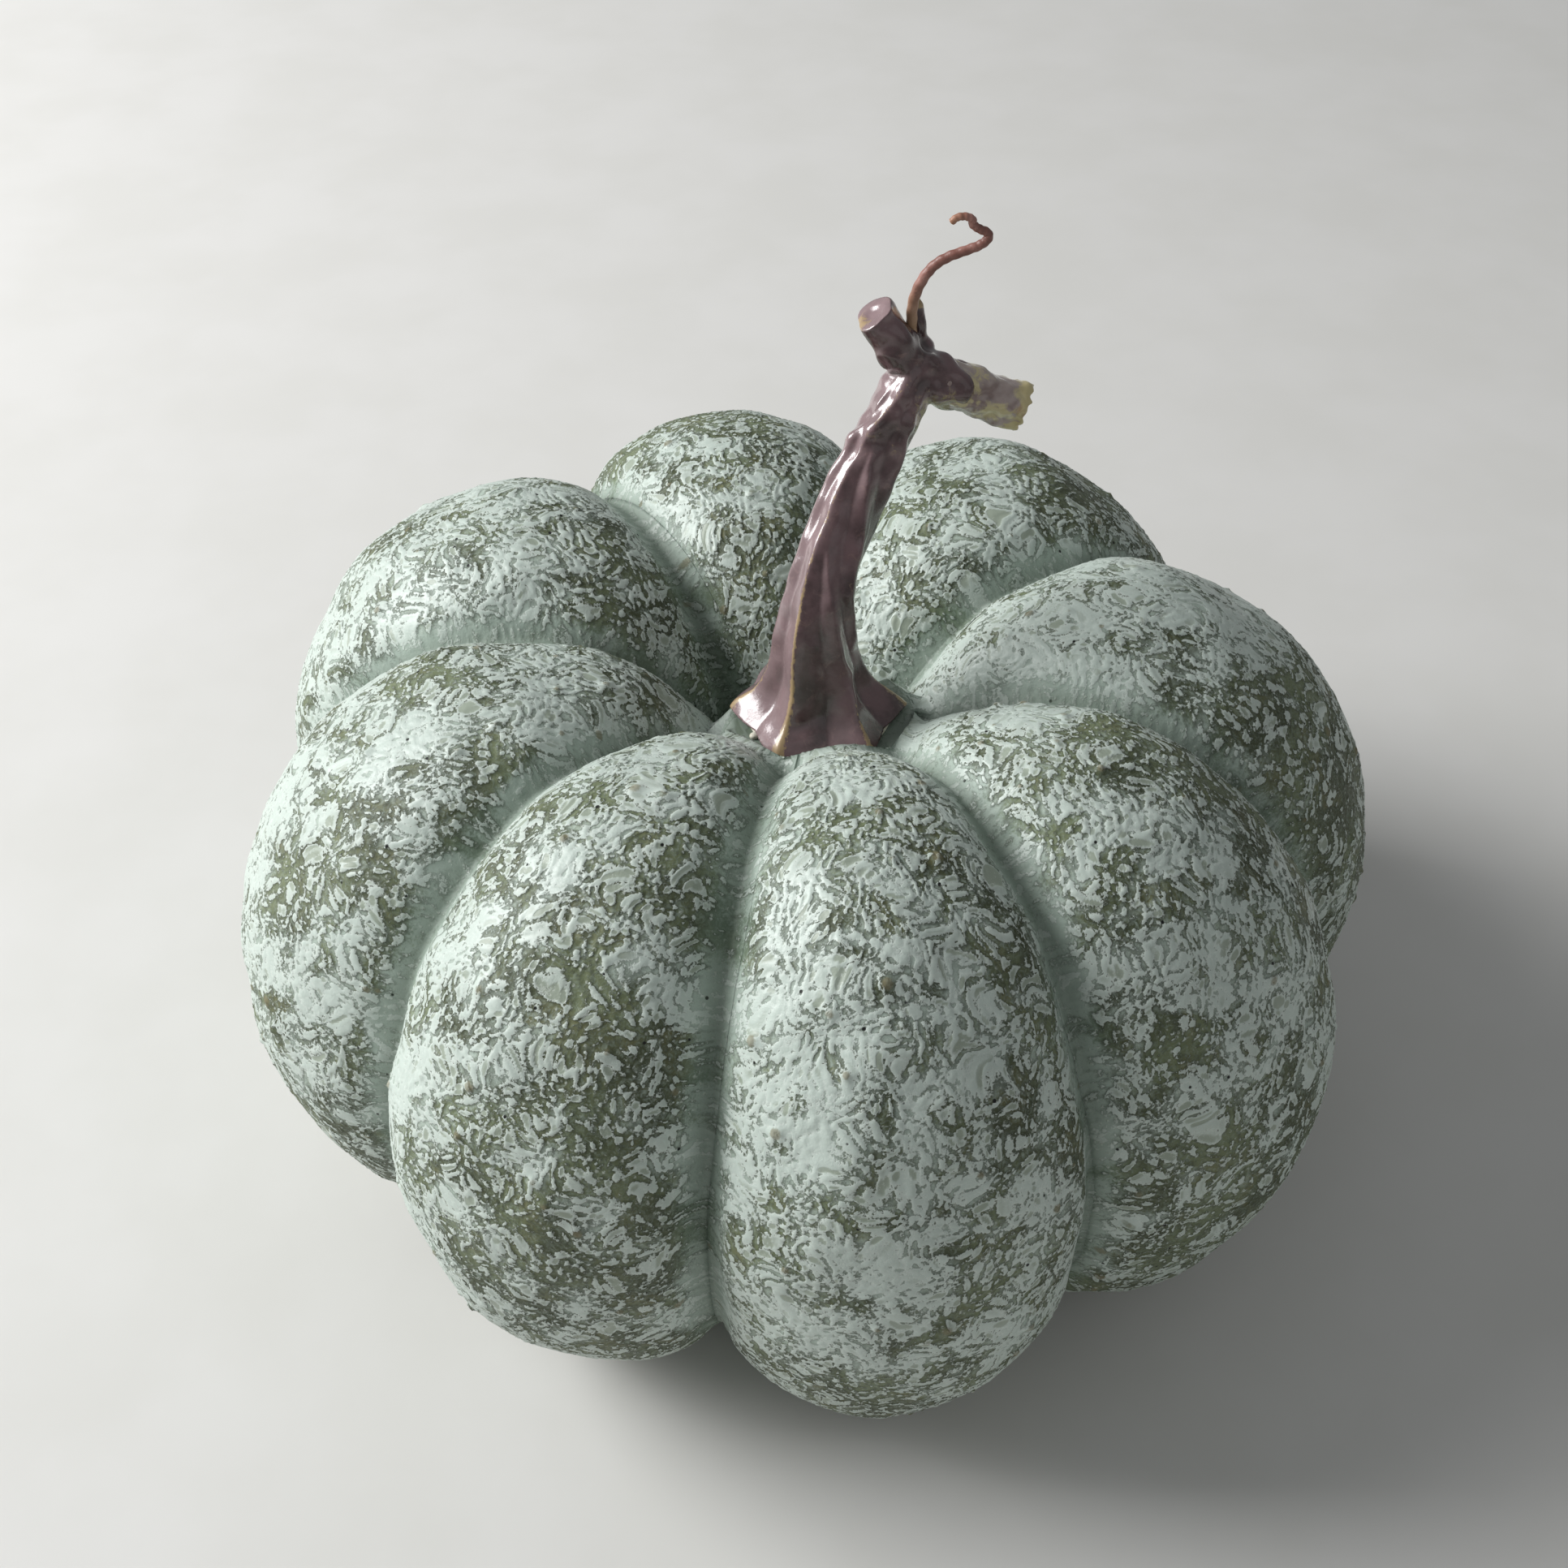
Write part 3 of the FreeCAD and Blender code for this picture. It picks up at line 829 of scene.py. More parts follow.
    def _dress(self, mesh: bpy.types.Mesh, seed: int) -> None:
        """Raises the glaze on a sector and keeps what the finish needs to know.

        Args:
            mesh: The sector's mesh, on the smooth surface.
            seed: Seed of the beads and knobs, which differ from lobe to lobe.
        """
        points = get_points(mesh)
        normals = self._normals(points)
        swirl = [WaveField(self.bend_length, 11 + axis, 24).at(points) for axis in range(3)]
        bent = points + self.bend * np.stack(swirl, axis=1)
        groove = self._groove_depth(points)
        valley = smoothstep(0.12, 0.7, groove)
        cover = self._cover(points, normals)
        mottle = self.mottle.at(bent)
        crumbs = self.crumbs.at(bent)
        crawl = smoothstep(-0.7, 0.7, self.crawl.at(points))
        veil = 0.5 * cover + 0.3 * mottle + 0.6 * valley - 0.06
        bead, ring = self._beads(bent, seed)
        worms = (0.6 + crawl) * self.worms.at(bent)
        thick = 0.22 * worms + 0.34 * crumbs + 0.18 * mottle - 0.2 + 0.36 * cover
        glaze = np.maximum(thick, 1.5 * bead - 0.62 + 0.12 * crumbs) - 0.6 * valley

        plateau = smoothstep(-0.2, 0.35, glaze) - 0.65 * ring * (1 - valley)
        flatness = 1 - 0.75 * smoothstep(0.0, 0.8, veil)
        height = self.bead_height * plateau * flatness + 0.04 * crumbs
        height += 0.26 * self.dents.at(points) + 0.1 * self.small_dents.at(points)
        height -= self.crease_depth * groove
        knob_height, grit = self._knobs(points, seed)
        height += knob_height * (1 - valley)
        seat = self._outside_seat(points)
        share = np.minimum(smoothstep(0.3, 3.0, points[:, 2]), seat)
        moved = points + normals * ((height - self.inset) * share)[:, None]
        lowest, highest = (np.array(corner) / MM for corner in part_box(Slot.SHELL.value))
        set_points(mesh, np.clip(moved, lowest, highest))
        store(mesh, "glaze", glaze)
        store(mesh, "veil", veil)
        store(mesh, "ring", ring * (1 - valley))
        store(mesh, "grit", grit)
        store(mesh, "valley", valley)
        # Painted shade: strong in the grooves' bottoms and over the seat that the stalk's foot stands on.
        store(mesh, "groove_shade", np.maximum(smoothstep(0.35, 0.95, groove) * seat, 1.4 * (1 - seat)))

    def _cover(self, points: Array, normals: Array) -> Array:
        """How thickly the glaze lies: more on one side and on top, and in clouds and patches."""
        facing = (normals * unit(np.array(self.thicker_towards))).sum(axis=1)
        return 0.42 * self.cloud.at(points) + 0.45 * self.patch.at(points) + 0.95 * (facing - 0.2)

    def _outside_seat(self, points: Array) -> Array:
        """0 on the stalk's flat seat, 1 away from it."""
        rho = np.hypot(points[:, 0], points[:, 1])
        ring = smoothstep(self.seat_radius - 1.0, self.seat_radius + 2.0, rho)
        return np.maximum(ring, smoothstep(self.crown_height - 4, self.crown_height - 10, points[:, 2]))

    def _groove_depth(self, points: Array) -> Array:
        """1 in the bottom of a groove, 0 out on the lobes."""
        near = np.sort(np.stack([self._ellipsoid(lobe, points) for lobe in self.lobes]), axis=0)
        return np.exp(-(near[1] - near[0]) / self.crease_width)

    def _beads(self, points: Array, seed: int) -> tuple[Array, Array]:
        """Round beads of crawled glaze, the larger ones sunk in the middle.

        Args:
            points: Vertices of the sector, bent so that the beads come out uneven.
            seed: Which beads.

        Returns:
            Closeness to a bead's middle and to the sunk heart of a large bead, per vertex.
        """
        rng = np.random.default_rng(seed + 50)
        tree = KDTree(len(points))
        for index, point in enumerate(points):
            tree.insert(point, index)
        tree.balance()
        bead = np.zeros(len(points))
        ring = np.zeros(len(points))
        smallest, largest = self.bead_radii
        for middle in points[rng.integers(0, len(points), self.bead_count)]:
            radius = smallest + (largest - smallest) * rng.random() ** 1.6
            found = tree.find_range(middle, radius)
            near = np.array([index for _, index, _ in found])
            closeness = 1 - (np.array([gap for _, _, gap in found]) / radius) ** 2
            bead[near] = np.maximum(bead[near], closeness)
            if radius > self.sunk_radius:
                ring[near] = np.maximum(ring[near], rng.random() * smoothstep(0.62, 0.92, closeness))
        return bead, ring

    def _knobs(self, points: Array, seed: int) -> tuple[Array, Array]:
        """Grit knobs under the glaze.

        Args:
            points: Vertices of the sector.
            seed: Which knobs.

        Returns:
            Height of the knobs and closeness to a knob's tip, per vertex.
        """
        rng = np.random.default_rng(seed)
        height = np.zeros(len(points))
        grit = np.zeros(len(points))
        for _ in range(self.knob_count):
            centre = points[rng.integers(len(points) // 8, len(points) * 9 // 10)]
            radius = rng.uniform(*self.knob_radii)
            gap = np.linalg.norm(points - centre, axis=1)
            near = gap < 2.5 * radius
            bell = np.exp(-((gap[near] / radius) ** 2) * 1.4)
            height[near] += rng.uniform(0.5, 1.0) * radius * 0.6 * bell
            grit[near] = np.maximum(grit[near], bell * rng.uniform(0.5, 1.1))
        return height, grit

    def _sector(self, low: float, high: float, name: str) -> bpy.types.Mesh:
        """The closed wedge of one lobe, from the axis to the smooth surface.

        Args:
            low: Azimuth of the groove where the wedge starts, in radians.
            high: Azimuth of the groove where it ends.
            name: Name of the mesh.

        Returns:
            The mesh, in millimetres.
        """
        bm = mapped_grid(self.columns, self.rows, partial(self._surface, low, high))
        bmesh.ops.remove_doubles(bm, verts=bm.verts, dist=1e-4)
        rim = [edge for edge in bm.edges if edge.is_boundary]
        ends = {vert for edge in rim for vert in edge.verts}
        corners = [vert for vert in ends if math.hypot(vert.co.x, vert.co.y) < 1e-3]
        top = max(corners, key=lambda vert: vert.co.z)
        bottom = min(corners, key=lambda vert: vert.co.z)
        spine = bm.edges.new((top, bottom))
        middle = (low + high) / 2
        for side in (-1, 1):
            chain = [edge for edge in rim if side * math.sin(self._azimuth_of(edge) - middle) > 0]
            bmesh.ops.contextual_create(bm, geom=chain + [spine])
        return finish_mesh(bm, name)

    @staticmethod
    def _azimuth_of(edge: bmesh.types.BMEdge) -> float:
        """Azimuth of the end of an edge that is further from the axis."""
        vert = max(edge.verts, key=lambda end: math.hypot(end.co.x, end.co.y))
        return math.atan2(vert.co.y, vert.co.x)

    def build(self) -> None:
        """Builds every sector."""
        finish = self.finish.material()
        cuts = self.grooves()
        for index, lobe in enumerate(self.lobes):
            low = cuts[index]
            high = cuts[(index + 1) % len(cuts)]
            high = low + (high - low) % (2 * math.pi)
            mesh = self._sector(low, high, f"lobe_{lobe.name}")
            self._dress(mesh, 100 + index)
            make_piece(mesh, f"lobe_{lobe.name}", finish, Slot.SHELL)


# ---------------------------------------------------------------- stalk
@dataclass(frozen=True)
class Station:
    """A cross-section of the stalk, measured from the middle of the foot's face."""

    x: float
    y: float
    rise: float
    radius: float
    core: float
    lean: float


@dataclass(frozen=True)
class Fold:
    """A ridge of the stalk, as rise, azimuth and height at a few places, and its half width."""

    keys: tuple[tuple[float, float, float], ...]
    width: float

    def at(self, rise: Array) -> tuple[Array, Array]:
        """Azimuth in degrees and height of the ridge, at each rise."""
        rises, azimuths, heights = np.array(self.keys).T
        return np.interp(rise, rises, azimuths), np.interp(rise, rises, heights, 0.0, 0.0)


@dataclass
class Stalk:
    """The moulded vine stalk: folded shaft, forked knuckle, cut stub and leaf sheath."""

    foot_face: float = field(default_factory=foot_height)
    lean_azimuth: float = 50.0
    stations: tuple[Station, ...] = (
        Station(0.0, 0.0, 0.0, 14.4, 0.79, 0.0),
        Station(-0.2, 0.2, 1.6, 13.0, 0.72, 0.0),
        Station(-0.4, 0.3, 4.5, 10.0, 0.66, 0.0),
        Station(-0.5, 0.6, 9.0, 7.9, 0.70, 3.0),
        Station(-0.5, 1.7, 15.0, 6.9, 0.74, 11.0),
        Station(1.1, 5.0, 24.0, 6.1, 0.76, 26.0),
        Station(4.2, 9.8, 32.6, 5.7, 0.76, 35.0),
        Station(8.4, 14.0, 40.5, 5.4, 0.76, 38.0),
        Station(12.6, 17.6, 47.6, 5.0, 0.78, 38.0),
        Station(15.2, 19.9, 51.6, 4.2, 0.85, 38.0),
    )
    folds: tuple[Fold, ...] = (
        Fold(((0, -118, 1.0), (8, -117, 0.95), (24, -124, 0.9), (40, -122, 0.85), (46, -108, 0.9),
              (50, -92, 0.8)), 44.0),
        Fold(((0, -54, 1.0), (4, -48, 0.9), (10, -36, 0.75), (20, -70, 0.8), (27, -104, 0.5),
              (30, -118, 0.0)), 34.0),
        Fold(((0, 4, 1.0), (5, 8, 0.9), (12, 6, 0.75), (22, -42, 0.85), (30, -52, 0.8), (36, -82, 0.7),
              (42, -112, 0.2)), 36.0),
        Fold(((0, 76, 0.9), (8, 70, 0.8), (24, 34, 0.8), (35, -12, 0.8), (42, -46, 0.8),
              (50, -72, 0.6)), 40.0),
        Fold(((0, 180, 1.0), (5, 182, 0.9), (14, 190, 0.85), (28, 200, 0.8), (40, 212, 0.8),
              (50, 236, 0.6)), 42.0),
        Fold(((0, 128, 0.8), (10, 120, 0.7), (24, 98, 0.7), (36, 74, 0.7), (50, 40, 0.6)), 42.0),
        Fold(((7, -140, 0.0), (11, -136, 0.5), (24, -140, 0.5), (30, -146, 0.0)), 12.0),
    )
    knuckle: tuple[float, float, float] = field(default_factory=knuckle_middle)
    knuckle_radius: float = 4.3
    stub_end: tuple[float, float, float] = (-5.9, -0.85, 9.3)
    stub_radii: tuple[float, float] = (3.3, 3.2)
    stub_crown: float = 3.15
    stub_cut: float = 1.2
    sheath_root: tuple[float, float, float] = (1.0, 2.9, 0.0)
    sheath_tip: tuple[float, float, float] = (-0.2, 2.9, 9.6)
    sheath_radii: tuple[float, float] = (2.3, 0.5)
    collar_radii: tuple[float, float] = (4.25, 3.5)
    collar_length: float = 8.0
    branch_azimuth: float = 8.0
    branch_fall: float = 24.0
    voxel: float = 0.26
    # Painted light: the way that the faces painted pale mauve look, up and to the left towards the window
    # lamp.
    painted_light_way: tuple[float, float, float] = (-0.77, -0.1, 0.63)
    fine_dents: WaveField = WaveField(4.6, 61, 30)
    shaft_waves: WaveField = WaveField(6.0, 51, 30)
    worn_waves: WaveField = WaveField(9.0, 63, 20)
    finish: BronzedResin = field(default_factory=BronzedResin)

    def _crest(self, azimuth: Array, rise: Array) -> Array:
        """How close a place on the shaft is to the top of a fold.

        Args:
            azimuth: Direction round the shaft, in radians.
            rise: Height above the foot, in millimetres.

        Returns:
            0 in the hollows to 1 on a full crest.
        """
        crest = np.zeros_like(azimuth)
        for fold in self.folds:
            middle, height = fold.at(rise)
            away = np.abs((np.degrees(azimuth) - middle + 180) % 360 - 180) / fold.width
            crest = np.maximum(crest, height * np.clip(1 - away, 0, 1) ** 1.5)
        return crest

    def _crest_near(self, points: Array) -> Array:
        """The same for any points, taken from the nearest place on the shaft.

        Args:
            points: Points in millimetres.

        Returns:
            The crest value of each, fading to 0 away from the shaft.
        """
        places = np.meshgrid(np.linspace(0, 1, 181), np.linspace(0, 1, 161))
        across, along = (grid.ravel() for grid in places)
        knots = np.array([[st.rise] for st in self.stations])
        crest = self._crest(2 * math.pi * across, catmull_rom(knots, along)[:, 0])
        tree = KDTree(len(across))
        for index, place in enumerate(self._shaft_points(across, along)):
            tree.insert(place, index)
        tree.balance()
        found = [tree.find(point) for point in points]
        value = np.array([crest[index] for _, index, _ in found])
        away = np.array([distance for _, _, distance in found])
        return value * (1 - smoothstep(0.8, 2.0, away))

    def _shaft_points(self, across: Array, along: Array) -> Array:
        """The folded shaft, closed at both ends.

        Args:
            across: Place round the shaft, 0 to 1.
            along: Place from the foot to the knuckle, 0 to 1.

        Returns:
            One point per place.
        """
        knots = np.array([[st.x, st.y, st.rise, st.radius, st.core, st.lean] for st in self.stations])
        cap = 0.02
        inner = np.clip((along - cap) / (1 - 2 * cap), 0, 1)
        x, y, rise, radius, core, lean = catmull_rom(knots, inner).T
        azimuth = 2 * math.pi * across
        size = radius * (core + (1 - core) * self._crest(azimuth, rise))
        size *= np.minimum(1.0, np.minimum(along, 1 - along) / cap)
        tilt, way = np.radians(lean), math.radians(self.lean_azimuth)
        flat = size * np.cos(azimuth - way)
        side = size * np.sin(azimuth - way)
        out = flat * np.cos(tilt)
        points = np.stack([x + out * math.cos(way) - side * math.sin(way),
                           y + out * math.sin(way) + side * math.cos(way),
                           rise + self.foot_face - flat * np.sin(tilt)], axis=1)
        points += (0.10 * self.shaft_waves.at(points))[:, None] * unit(points - points.mean(axis=0))
        points[:, 2] = np.maximum(points[:, 2], self.foot_face)
        return points

    def _shaft(self) -> bpy.types.Mesh:
        """Mesh of the shaft."""
        return finish_mesh(mapped_grid(220, 300, self._shaft_points), "shaft")

    def _limb(self, start: Vector, end: Vector, radii: tuple[float, float], name: str) -> bpy.types.Mesh:
        """A tapering limb.

        Args:
            start: Middle of its first end.
            end: Middle of its last end.
            radii: Radius at each end.
            name: Name of the mesh.

        Returns:
            The mesh, in millimetres.
        """
        bm = bmesh.new()
        turn = (end - start).to_track_quat("Z", "Y").to_matrix().to_4x4()
        length = (end - start).length
        bmesh.ops.create_cone(bm, cap_ends=True, segments=40, radius1=radii[0], radius2=radii[1],
                              depth=length, matrix=Matrix.Translation((start + end) / 2) @ turn)
        return finish_mesh(bm, name)

    def _ball(self, centre: Vector, radius: float, name: str) -> bpy.types.Mesh:
        """A rounded end or knuckle."""
        bm = bmesh.new()
        bmesh.ops.create_uvsphere(bm, u_segments=36, v_segments=20, radius=radius,
                                  matrix=Matrix.Translation(centre))
        return finish_mesh(bm, name)

    def _parts(self) -> list[bpy.types.Mesh]:
        """The limbs of the stalk, overlapping at the knuckle.

        Returns:
            One closed mesh per limb, in millimetres.
        """
        middle = Vector(self.knuckle)
        stub = middle + Vector(self.stub_end)
        azimuth, fall = math.radians(self.branch_azimuth), math.radians(self.branch_fall)
        way = Vector((math.cos(azimuth) * math.cos(fall), math.sin(azimuth) * math.cos(fall),
                      -math.sin(fall)))
        root, tip = middle + Vector(self.sheath_root), middle + Vector(self.sheath_tip)
        return [
            self._shaft(),
            self._ball(middle, self.knuckle_radius, "knuckle"),
            self._limb(middle, stub, self.stub_radii, "stub"),
            self._ball(stub, self.stub_crown, "stub_end"),
            self._limb(root, tip, self.sheath_radii, "sheath"),
            self._ball(tip, self.sheath_radii[1], "sheath_tip"),
            self._limb(middle, middle + way * self.collar_length, self.collar_radii, "collar"),
        ]

    def build(self) -> None:
        """Builds the stalk."""
        mesh = remeshed(self._parts(), self.voxel, 2, "stalk")
        points = get_points(mesh)
        normals = get_normals(mesh)
        above = smoothstep(36, 46, points[:, 2] - self.foot_face)
        dents = (0.05 + 0.24 * above) * self.fine_dents.at(points)
        base = smoothstep(self.foot_face, self.foot_face + 0.6, points[:, 2])
        moved = self._cut_stub(points + normals * (np.minimum(dents, 0.5) * base)[:, None])
        set_points(mesh, moved)
        stand = convexity(mesh, 40)
        crest = self._crest_near(points)
        ridge = np.maximum(smoothstep(0.72, 0.97, crest), 0.8 * smoothstep(0.3, 0.55, stand))
        store(mesh, "ridge", ridge + self._tipped(moved))
        # Painted shade in the hollows of the stalk, where the surface lies below its surroundings.
        store(mesh, "shaded_hollow", smoothstep(0.03, 0.25, -stand))
        store(mesh, "yellow", self._worn(moved))
        # Painted light: pale mauve on the faces that look up and to the left, towards the window lamp.
        store(mesh, "painted_light", smoothstep(0.25, 0.9, get_normals(mesh) @ self.painted_light_way))
        make_piece(mesh, "vine_stalk", self.finish.material(), Slot.STEM)

    def _cut_stub(self, points: Array) -> Array:
        """Presses the stub's round end into a slightly dished cut face.

        Args:
            points: Vertices of the stalk.

        Returns:
            The same vertices, with those past the cut moved back.
        """
        axis = unit(np.array(self.stub_end))
        offset = points - np.array(self.knuckle) - np.array(self.stub_end)
        along = offset @ axis
        away = np.linalg.norm(offset - along[:, None] * axis, axis=1)
        face = self.stub_cut - 0.5 * (1 - smoothstep(0.6, 2.2, away))
        end = (away < self.stub_radii[0] + 0.6) & (along > face)
        return points - (end * (along - face) * 0.85)[:, None] * axis

    def _tipped(self, points: Array) -> Array:
        """Where the gold runs round the left of the stub's end."""
        middle = np.array(self.knuckle) + np.array(self.stub_end) + np.array([-2.6, -0.8, 0.2])
        return 0.9 * np.exp(-((np.linalg.norm(points - middle, axis=1) / 2.0) ** 2))

    def _worn(self, points: Array) -> Array:
        """Where the ochre undercoat shows: under the knuckle and on its right side."""
        offset = points - np.array(self.knuckle)
        near = np.exp(-((np.linalg.norm(offset - np.array([2.0, -2.0, -7.0]), axis=1) / 6.0) ** 2))
        return 0.85 * near + 0.08 * self.worn_waves.at(points)


# ---------------------------------------------------------------- side branch
@dataclass
class SideBranch:
    """The side branch: a hollow broken-off vine with a ragged rim."""

    root: tuple[float, float, float] = field(default_factory=knuckle_middle)
    azimuth: float = 8.0
    fall: float = 24.0
    seat: float = 2.6
    length: float = 17.6
    radius: float = 3.55
    wall: float = 1.0
    depth: float = 8.5
    tear: float = 1.1
    dents: WaveField = WaveField(4.0, 71, 30)
    fine_dents: WaveField = WaveField(1.6, 72, 30)
    worn_waves: WaveField = WaveField(5.0, 73, 20)
    # The branch's pale mauve is painted light on its upward faces.
    finish: BronzedResin = BronzedResin(deep=rgb(132, 112, 107), pale=rgb(176, 158, 152),
                                        painted_light_mauve=rgb(192, 178, 172), ochre=rgb(212, 200, 146))

    def _points(self, across: Array, along: Array) -> Array:
        """Outside from the root to the rim, then the bore back to its floor.

        Args:
            across: Place round the branch, 0 to 1.
            along: Place along that way, 0 to 1.

        Returns:
            One point per place.
        """
        turn = 2 * math.pi * across
        rim = self.length + self._rim(turn)
        bore = self.radius - self.wall
        marks = np.array([0.0, 0.08, 0.62, 0.66, 0.94, 1.0])
        radii = np.array([0.0, self.radius, self.radius, bore, bore, 0.0])
        steps = np.array([0.0, 0.0, 1.0, 1.0, 2.0, 2.0])
        size = np.interp(along, marks, radii)
        step = np.interp(along, marks, steps)
        floor = self.length - self.depth
        far = np.where(step <= 1, self.seat + (rim - self.seat) * step, rim + (floor - rim) * (step - 1))
        rib = 1 + 0.05 * np.cos(5 * turn + 0.25 * far) + 0.03 * np.cos(3 * turn - 0.5 * far + 1.0)
        flare = 1 + 0.05 * smoothstep(self.length - 5, self.length, far)
        size = size * rib * flare
        azimuth, fall = math.radians(self.azimuth), math.radians(self.fall)
        way = np.array([math.cos(azimuth) * math.cos(fall), math.sin(azimuth) * math.cos(fall),
                        -math.sin(fall)])
        side = np.array([-math.sin(azimuth), math.cos(azimuth), 0.0])
        up = np.cross(way, side)
        ring = np.cos(turn)[:, None] * side + np.sin(turn)[:, None] * up
        return np.array(self.root) + far[:, None] * way + size[:, None] * ring

    def _rim(self, turn: Array) -> Array:
        """How far the torn rim runs out past the mean length.

        Args:
            turn: Direction round the rim, in radians.

        Returns:
            Millimetres past the mean length.
        """
        torn = 0.45 * np.cos(3 * turn + 0.6) + 0.30 * np.cos(7 * turn + 2.0)
        torn += 0.25 * np.cos(13 * turn + 0.4)
        spike = np.exp(-(((turn - 1.2 + math.pi) % (2 * math.pi) - math.pi) / 0.28) ** 2)
        notch = np.exp(-(((turn - 0.7 + math.pi) % (2 * math.pi) - math.pi) / 0.18) ** 2)
        return self.tear * (torn + 0.9 * spike - 1.2 * notch) * 0.6

    def build(self) -> None:
        """Builds the branch."""
        mesh = finish_mesh(mapped_grid(110, 190, self._points), "side_branch")
        points = get_points(mesh)
        normals = get_normals(mesh)
        dents = 0.13 * self.dents.at(points) + 0.05 * self.fine_dents.at(points)
        set_points(mesh, points + normals * dents[:, None])
        points = get_points(mesh)
        far = np.linalg.norm(points - np.array(self.root), axis=1)
        rim = smoothstep(self.length - 2.6, self.length - 0.6, far)
        store(mesh, "ridge", 0.75 * rim + 0.25 * smoothstep(0.0, 0.05, convexity(mesh, 10)))
        # Painted shade in the hollows of the branch.
        store(mesh, "shaded_hollow", smoothstep(0.02, 0.12, -convexity(mesh, 14)))
        # Painted light: pale mauve on the faces that look up.
        store(mesh, "painted_light", smoothstep(0.3, 0.9, get_normals(mesh)[:, 2]))
        store(mesh, "yellow", 0.34 + 0.4 * rim + 0.18 * self.worn_waves.at(points))
        make_piece(mesh, "broken_side_branch", self.finish.material(), Slot.BRANCH)


# ---------------------------------------------------------------- tendril and adhesive
@dataclass
class Tendril:
    """The paper-wrapped tendril that curls out of the knuckle."""

    plane: float = 20.4
    knots: tuple[tuple[float, float], ...] = (
        (13.2, 146.6), (13.1, 150.3), (13.3, 153.8), (14.4, 157.0), (16.0, 159.3), (18.0, 160.7),
        (20.4, 161.7), (22.4, 162.6), (23.4, 163.6), (23.2, 164.5), (22.0, 165.1), (21.1, 165.8),
        (21.0, 166.5), (20.1, 166.95), (18.9, 166.8), (18.0, 166.0),
    )
    root_radius: float = 0.85
    tip_radius: float = 0.52
    winding: float = 150.0
    core_radius: float = 0.3
    core_end: float = 0.97
    finish: WrappedPaper = field(default_factory=WrappedPaper)
    core_finish: DrawnSteel = field(default_factory=DrawnSteel)

    def _line(self, along: Array) -> Array:
        """The middle of the tendril."""
        return catmull_rom(np.array([(x, self.plane, z) for x, z in self.knots]), along)

    def _tube(self, across: Array, along: Array, size: Array, extent: float) -> Array:
        """A round-ended tube along the tendril.

        Args:
            across: Place round the tube, 0 to 1.
            along: Place along the tube, 0 to 1.
            size: Radius at each place.
            extent: How much of the tendril the tube covers.

        Returns:
            The points of the tube.
        """
        place = along * extent
        ahead = unit(self._line(np.minimum(place + 1e-3, 1)) - self._line(np.maximum(place - 1e-3, 0)))
        out = np.array([0.0, 1.0, 0.0])
        side = np.cross(ahead, out)
        turn = 2 * math.pi * across
        end = np.clip(np.minimum(along, 1 - along) / 0.012, 0, 1)
        size = size * np.sqrt(end * (2 - end))
        ring = np.cos(turn)[:, None] * side + np.sin(turn)[:, None] * out
        return self._line(place) + size[:, None] * ring

    def _wrap(self, across: Array, along: Array) -> Array:
        """The paper, which tapers and shows its winding."""
        size = self.root_radius + (self.tip_radius - self.root_radius) * along
        size = size * (1 + 0.05 * np.sin(along * self.winding + 2 * math.pi * across))
        return self._tube(across, along, size, 1.0)

    def _core(self, across: Array, along: Array) -> Array:
        """The wire inside the paper."""
        return self._tube(across, along, np.full_like(along, self.core_radius), self.core_end)

    def build(self) -> None:
        """Builds the paper wrap and the wire."""
        mesh = finish_mesh(mapped_grid(20, 420, self._wrap), "tendril")
        samples = np.linspace(0, 1, 200)
        gaps = np.linalg.norm(get_points(mesh)[:, None] - self._line(samples)[None], axis=2)
        store(mesh, "along", samples[gaps.argmin(axis=1)])
        make_piece(mesh, "curled_tendril", self.finish.material(), Slot.WRAP)
        core = finish_mesh(mapped_grid(12, 200, self._core), "tendril_core")
        make_piece(core, "tendril_core", self.core_finish.material(), Slot.WIRE)


@dataclass
class AdhesiveBed:
    """The bed of set adhesive under the foot, with the drops squeezed out at its front."""

    seat: float = field(default_factory=seat_height)
    foot: float = field(default_factory=foot_height)
    radius: float = 11.6
    drops: tuple[tuple[float, float, float], ...] = (
        (-96.0, 12.4, 1.1), (-78.0, 12.4, 0.8), (-71.0, 12.9, 1.1), (-62.0, 13.3, 0.8),
        (-148.0, 12.0, 0.7),
    )
    voxel: float = 0.22
    finish: SetAdhesive = field(default_factory=SetAdhesive)

    def build(self) -> None:
        """Builds the bed."""
        bm = bmesh.new()
        middle = Matrix.Translation((0, 0, (self.seat + self.foot) / 2))
        bmesh.ops.create_cone(bm, cap_ends=True, segments=72, radius1=self.radius, radius2=self.radius,
                              depth=self.foot - self.seat, matrix=middle)
        parts = [finish_mesh(bm, "bed")]
        for azimuth, reach, radius in self.drops:
            turn = math.radians(azimuth)
            centre = Vector((reach * math.cos(turn), reach * math.sin(turn), self.seat + 0.45 * radius))
            bm = bmesh.new()
            squat = Matrix.Translation(centre) @ Matrix.Diagonal((1.0, 1.0, 0.75, 1.0))
            bmesh.ops.create_uvsphere(bm, u_segments=24, v_segments=14, radius=radius, matrix=squat)
            parts.append(finish_mesh(bm, "drop"))
        mesh = remeshed(parts, self.voxel, 2, "adhesive")
        make_piece(mesh, "adhesive_bed", self.finish.material(), Slot.GLUE)


# ---------------------------------------------------------------- studio
def turned(first: Vector, second: Vector, angle: float) -> tuple[Vector, Vector]:
    """Two square directions, both turned by an angle from the first towards the second."""
    cosine, sine = math.cos(angle), math.sin(angle)
    return first * cosine + second * sine, second * cosine - first * sine


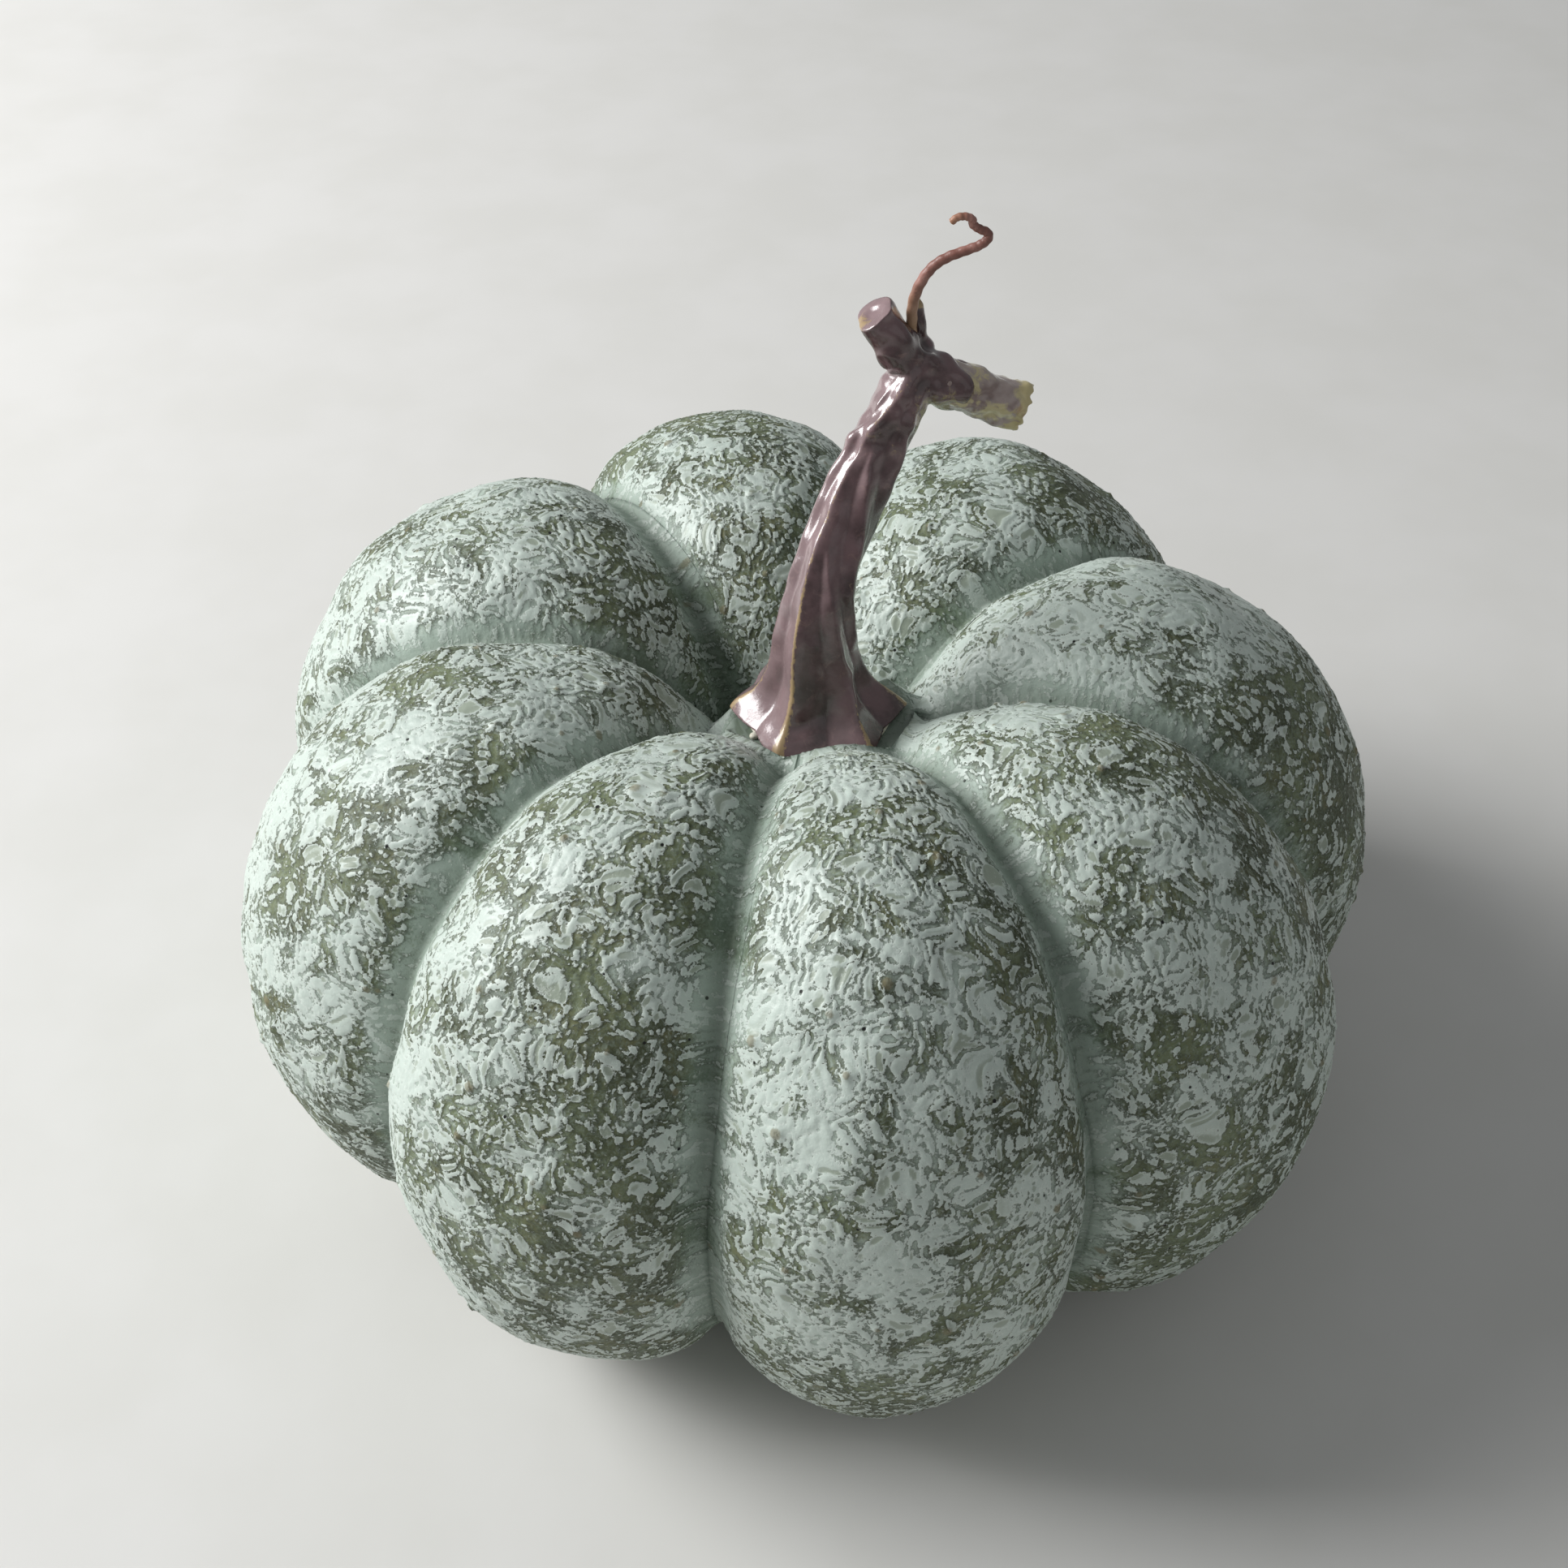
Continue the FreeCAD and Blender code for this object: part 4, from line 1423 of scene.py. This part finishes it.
@dataclass(frozen=True)
class Lamp:
    """A soft square lamp: its place and size in metres, and its power in watts."""

    name: str
    place: tuple[float, float, float]
    size: float
    power: float


@dataclass
class Studio:
    """Floor, world, lamps and camera."""

    eye: tuple[float, float, float] = (0.0, -0.2355, 0.3039)
    fall: float = 45.99
    pan: float = -0.982
    tilt: float = 1.895
    roll: float = 0.49
    lens: float = 45.67
    world_tint: Colour = (0.95, 0.98, 1.0, 1.0)
    world_light: float = 0.23
    backdrop: Colour = rgb(214, 214, 212)
    floor_radius: float = 2.5
    floor_colours: tuple[Colour, Colour] = (rgb(222, 221, 217), rgb(226, 225, 222))
    aim: tuple[float, float, float] = (0.0, 0.0, 0.06)
    lamps: tuple[Lamp, ...] = (
        Lamp("window", (-1.2, 0.2, 0.85), 0.8, 27.0),
        Lamp("bounce", (0.9, -0.9, 0.9), 1.2, 1.0),
    )

    def _camera(self) -> None:
        """Places the camera."""
        fall, pan, tilt, roll = (math.radians(x) for x in (self.fall, self.pan, self.tilt, self.roll))
        ahead = Vector((0, math.cos(fall), -math.sin(fall)))
        right = Vector((1, 0, 0))
        up = right.cross(ahead)
        ahead, right = turned(ahead, right, pan)
        ahead, up = turned(ahead, up, tilt)
        right, up = turned(right, up, roll)
        turn = Matrix((right, up, -ahead)).transposed().to_4x4()
        data = bpy.data.cameras.new("Camera")
        data.lens = self.lens
        data.sensor_width = 36.0
        data.clip_start = 0.01
        camera = bpy.data.objects.new("Camera", data)
        camera.matrix_world = Matrix.Translation(self.eye) @ turn
        bpy.context.scene.collection.objects.link(camera)
        bpy.context.scene.camera = camera

    def _hang(self, lamp: Lamp) -> None:
        """Adds a lamp that looks at the figure.

        Args:
            lamp: Which lamp.
        """
        data = bpy.data.lights.new(lamp.name, "AREA")
        data.size = lamp.size
        data.energy = lamp.power
        light = bpy.data.objects.new(lamp.name, data)
        light.location = Vector(lamp.place)
        way = Vector(self.aim) - light.location
        light.rotation_euler = way.to_track_quat("-Z", "Y").to_euler()
        bpy.context.scene.collection.objects.link(light)

    def _floor(self) -> None:
        """A plain pale floor."""
        bm = bmesh.new()
        bmesh.ops.create_circle(bm, cap_ends=True, segments=96, radius=self.floor_radius)
        mesh = bpy.data.meshes.new("floor")
        bm.to_mesh(mesh)
        bm.free()
        mix = Recipe("PaleFloor")
        cloud = mix.noise(40.0, 3.0)
        colour = mix.blend(cloud.ramp(0.3, 0.7), *self.floor_colours)
        mesh.materials.append(mix.surface(Base_Color=colour, Roughness=0.75))
        floor = bpy.data.objects.new("floor", mesh)
        bpy.context.scene.collection.objects.link(floor)

    def _world(self) -> None:
        """An even world that lights softly and looks pale to the camera."""
        world = bpy.data.worlds.new("World")
        world.use_nodes = True
        nodes, links = world.node_tree.nodes, world.node_tree.links
        soft = nodes["Background"]
        soft.inputs["Color"].default_value = self.world_tint
        soft.inputs["Strength"].default_value = self.world_light
        seen = nodes.new("ShaderNodeBackground")
        seen.inputs["Color"].default_value = self.backdrop
        path = nodes.new("ShaderNodeLightPath")
        mix = nodes.new("ShaderNodeMixShader")
        links.new(path.outputs["Is Camera Ray"], mix.inputs[0])
        links.new(soft.outputs[0], mix.inputs[1])
        links.new(seen.outputs[0], mix.inputs[2])
        links.new(mix.outputs[0], nodes["World Output"].inputs["Surface"])
        bpy.context.scene.world = world

    def build(self) -> None:
        """Builds the studio."""
        self._camera()
        self._floor()
        self._world()
        for lamp in self.lamps:
            self._hang(lamp)
        bpy.context.scene.view_settings.view_transform = "Standard"


def main() -> None:
    """Builds the whole scene."""
    logging.basicConfig(level=logging.INFO, format="%(name)s %(message)s")
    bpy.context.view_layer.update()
    Studio().build()
    Shell().build()
    Stalk().build()
    SideBranch().build()
    Tendril().build()
    AdhesiveBed().build()
    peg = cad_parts[Slot.PEG.value]
    peg.data.materials.clear()
    peg.data.materials.append(DrawnSteel().material())


if __name__ == "__main__":
    main()
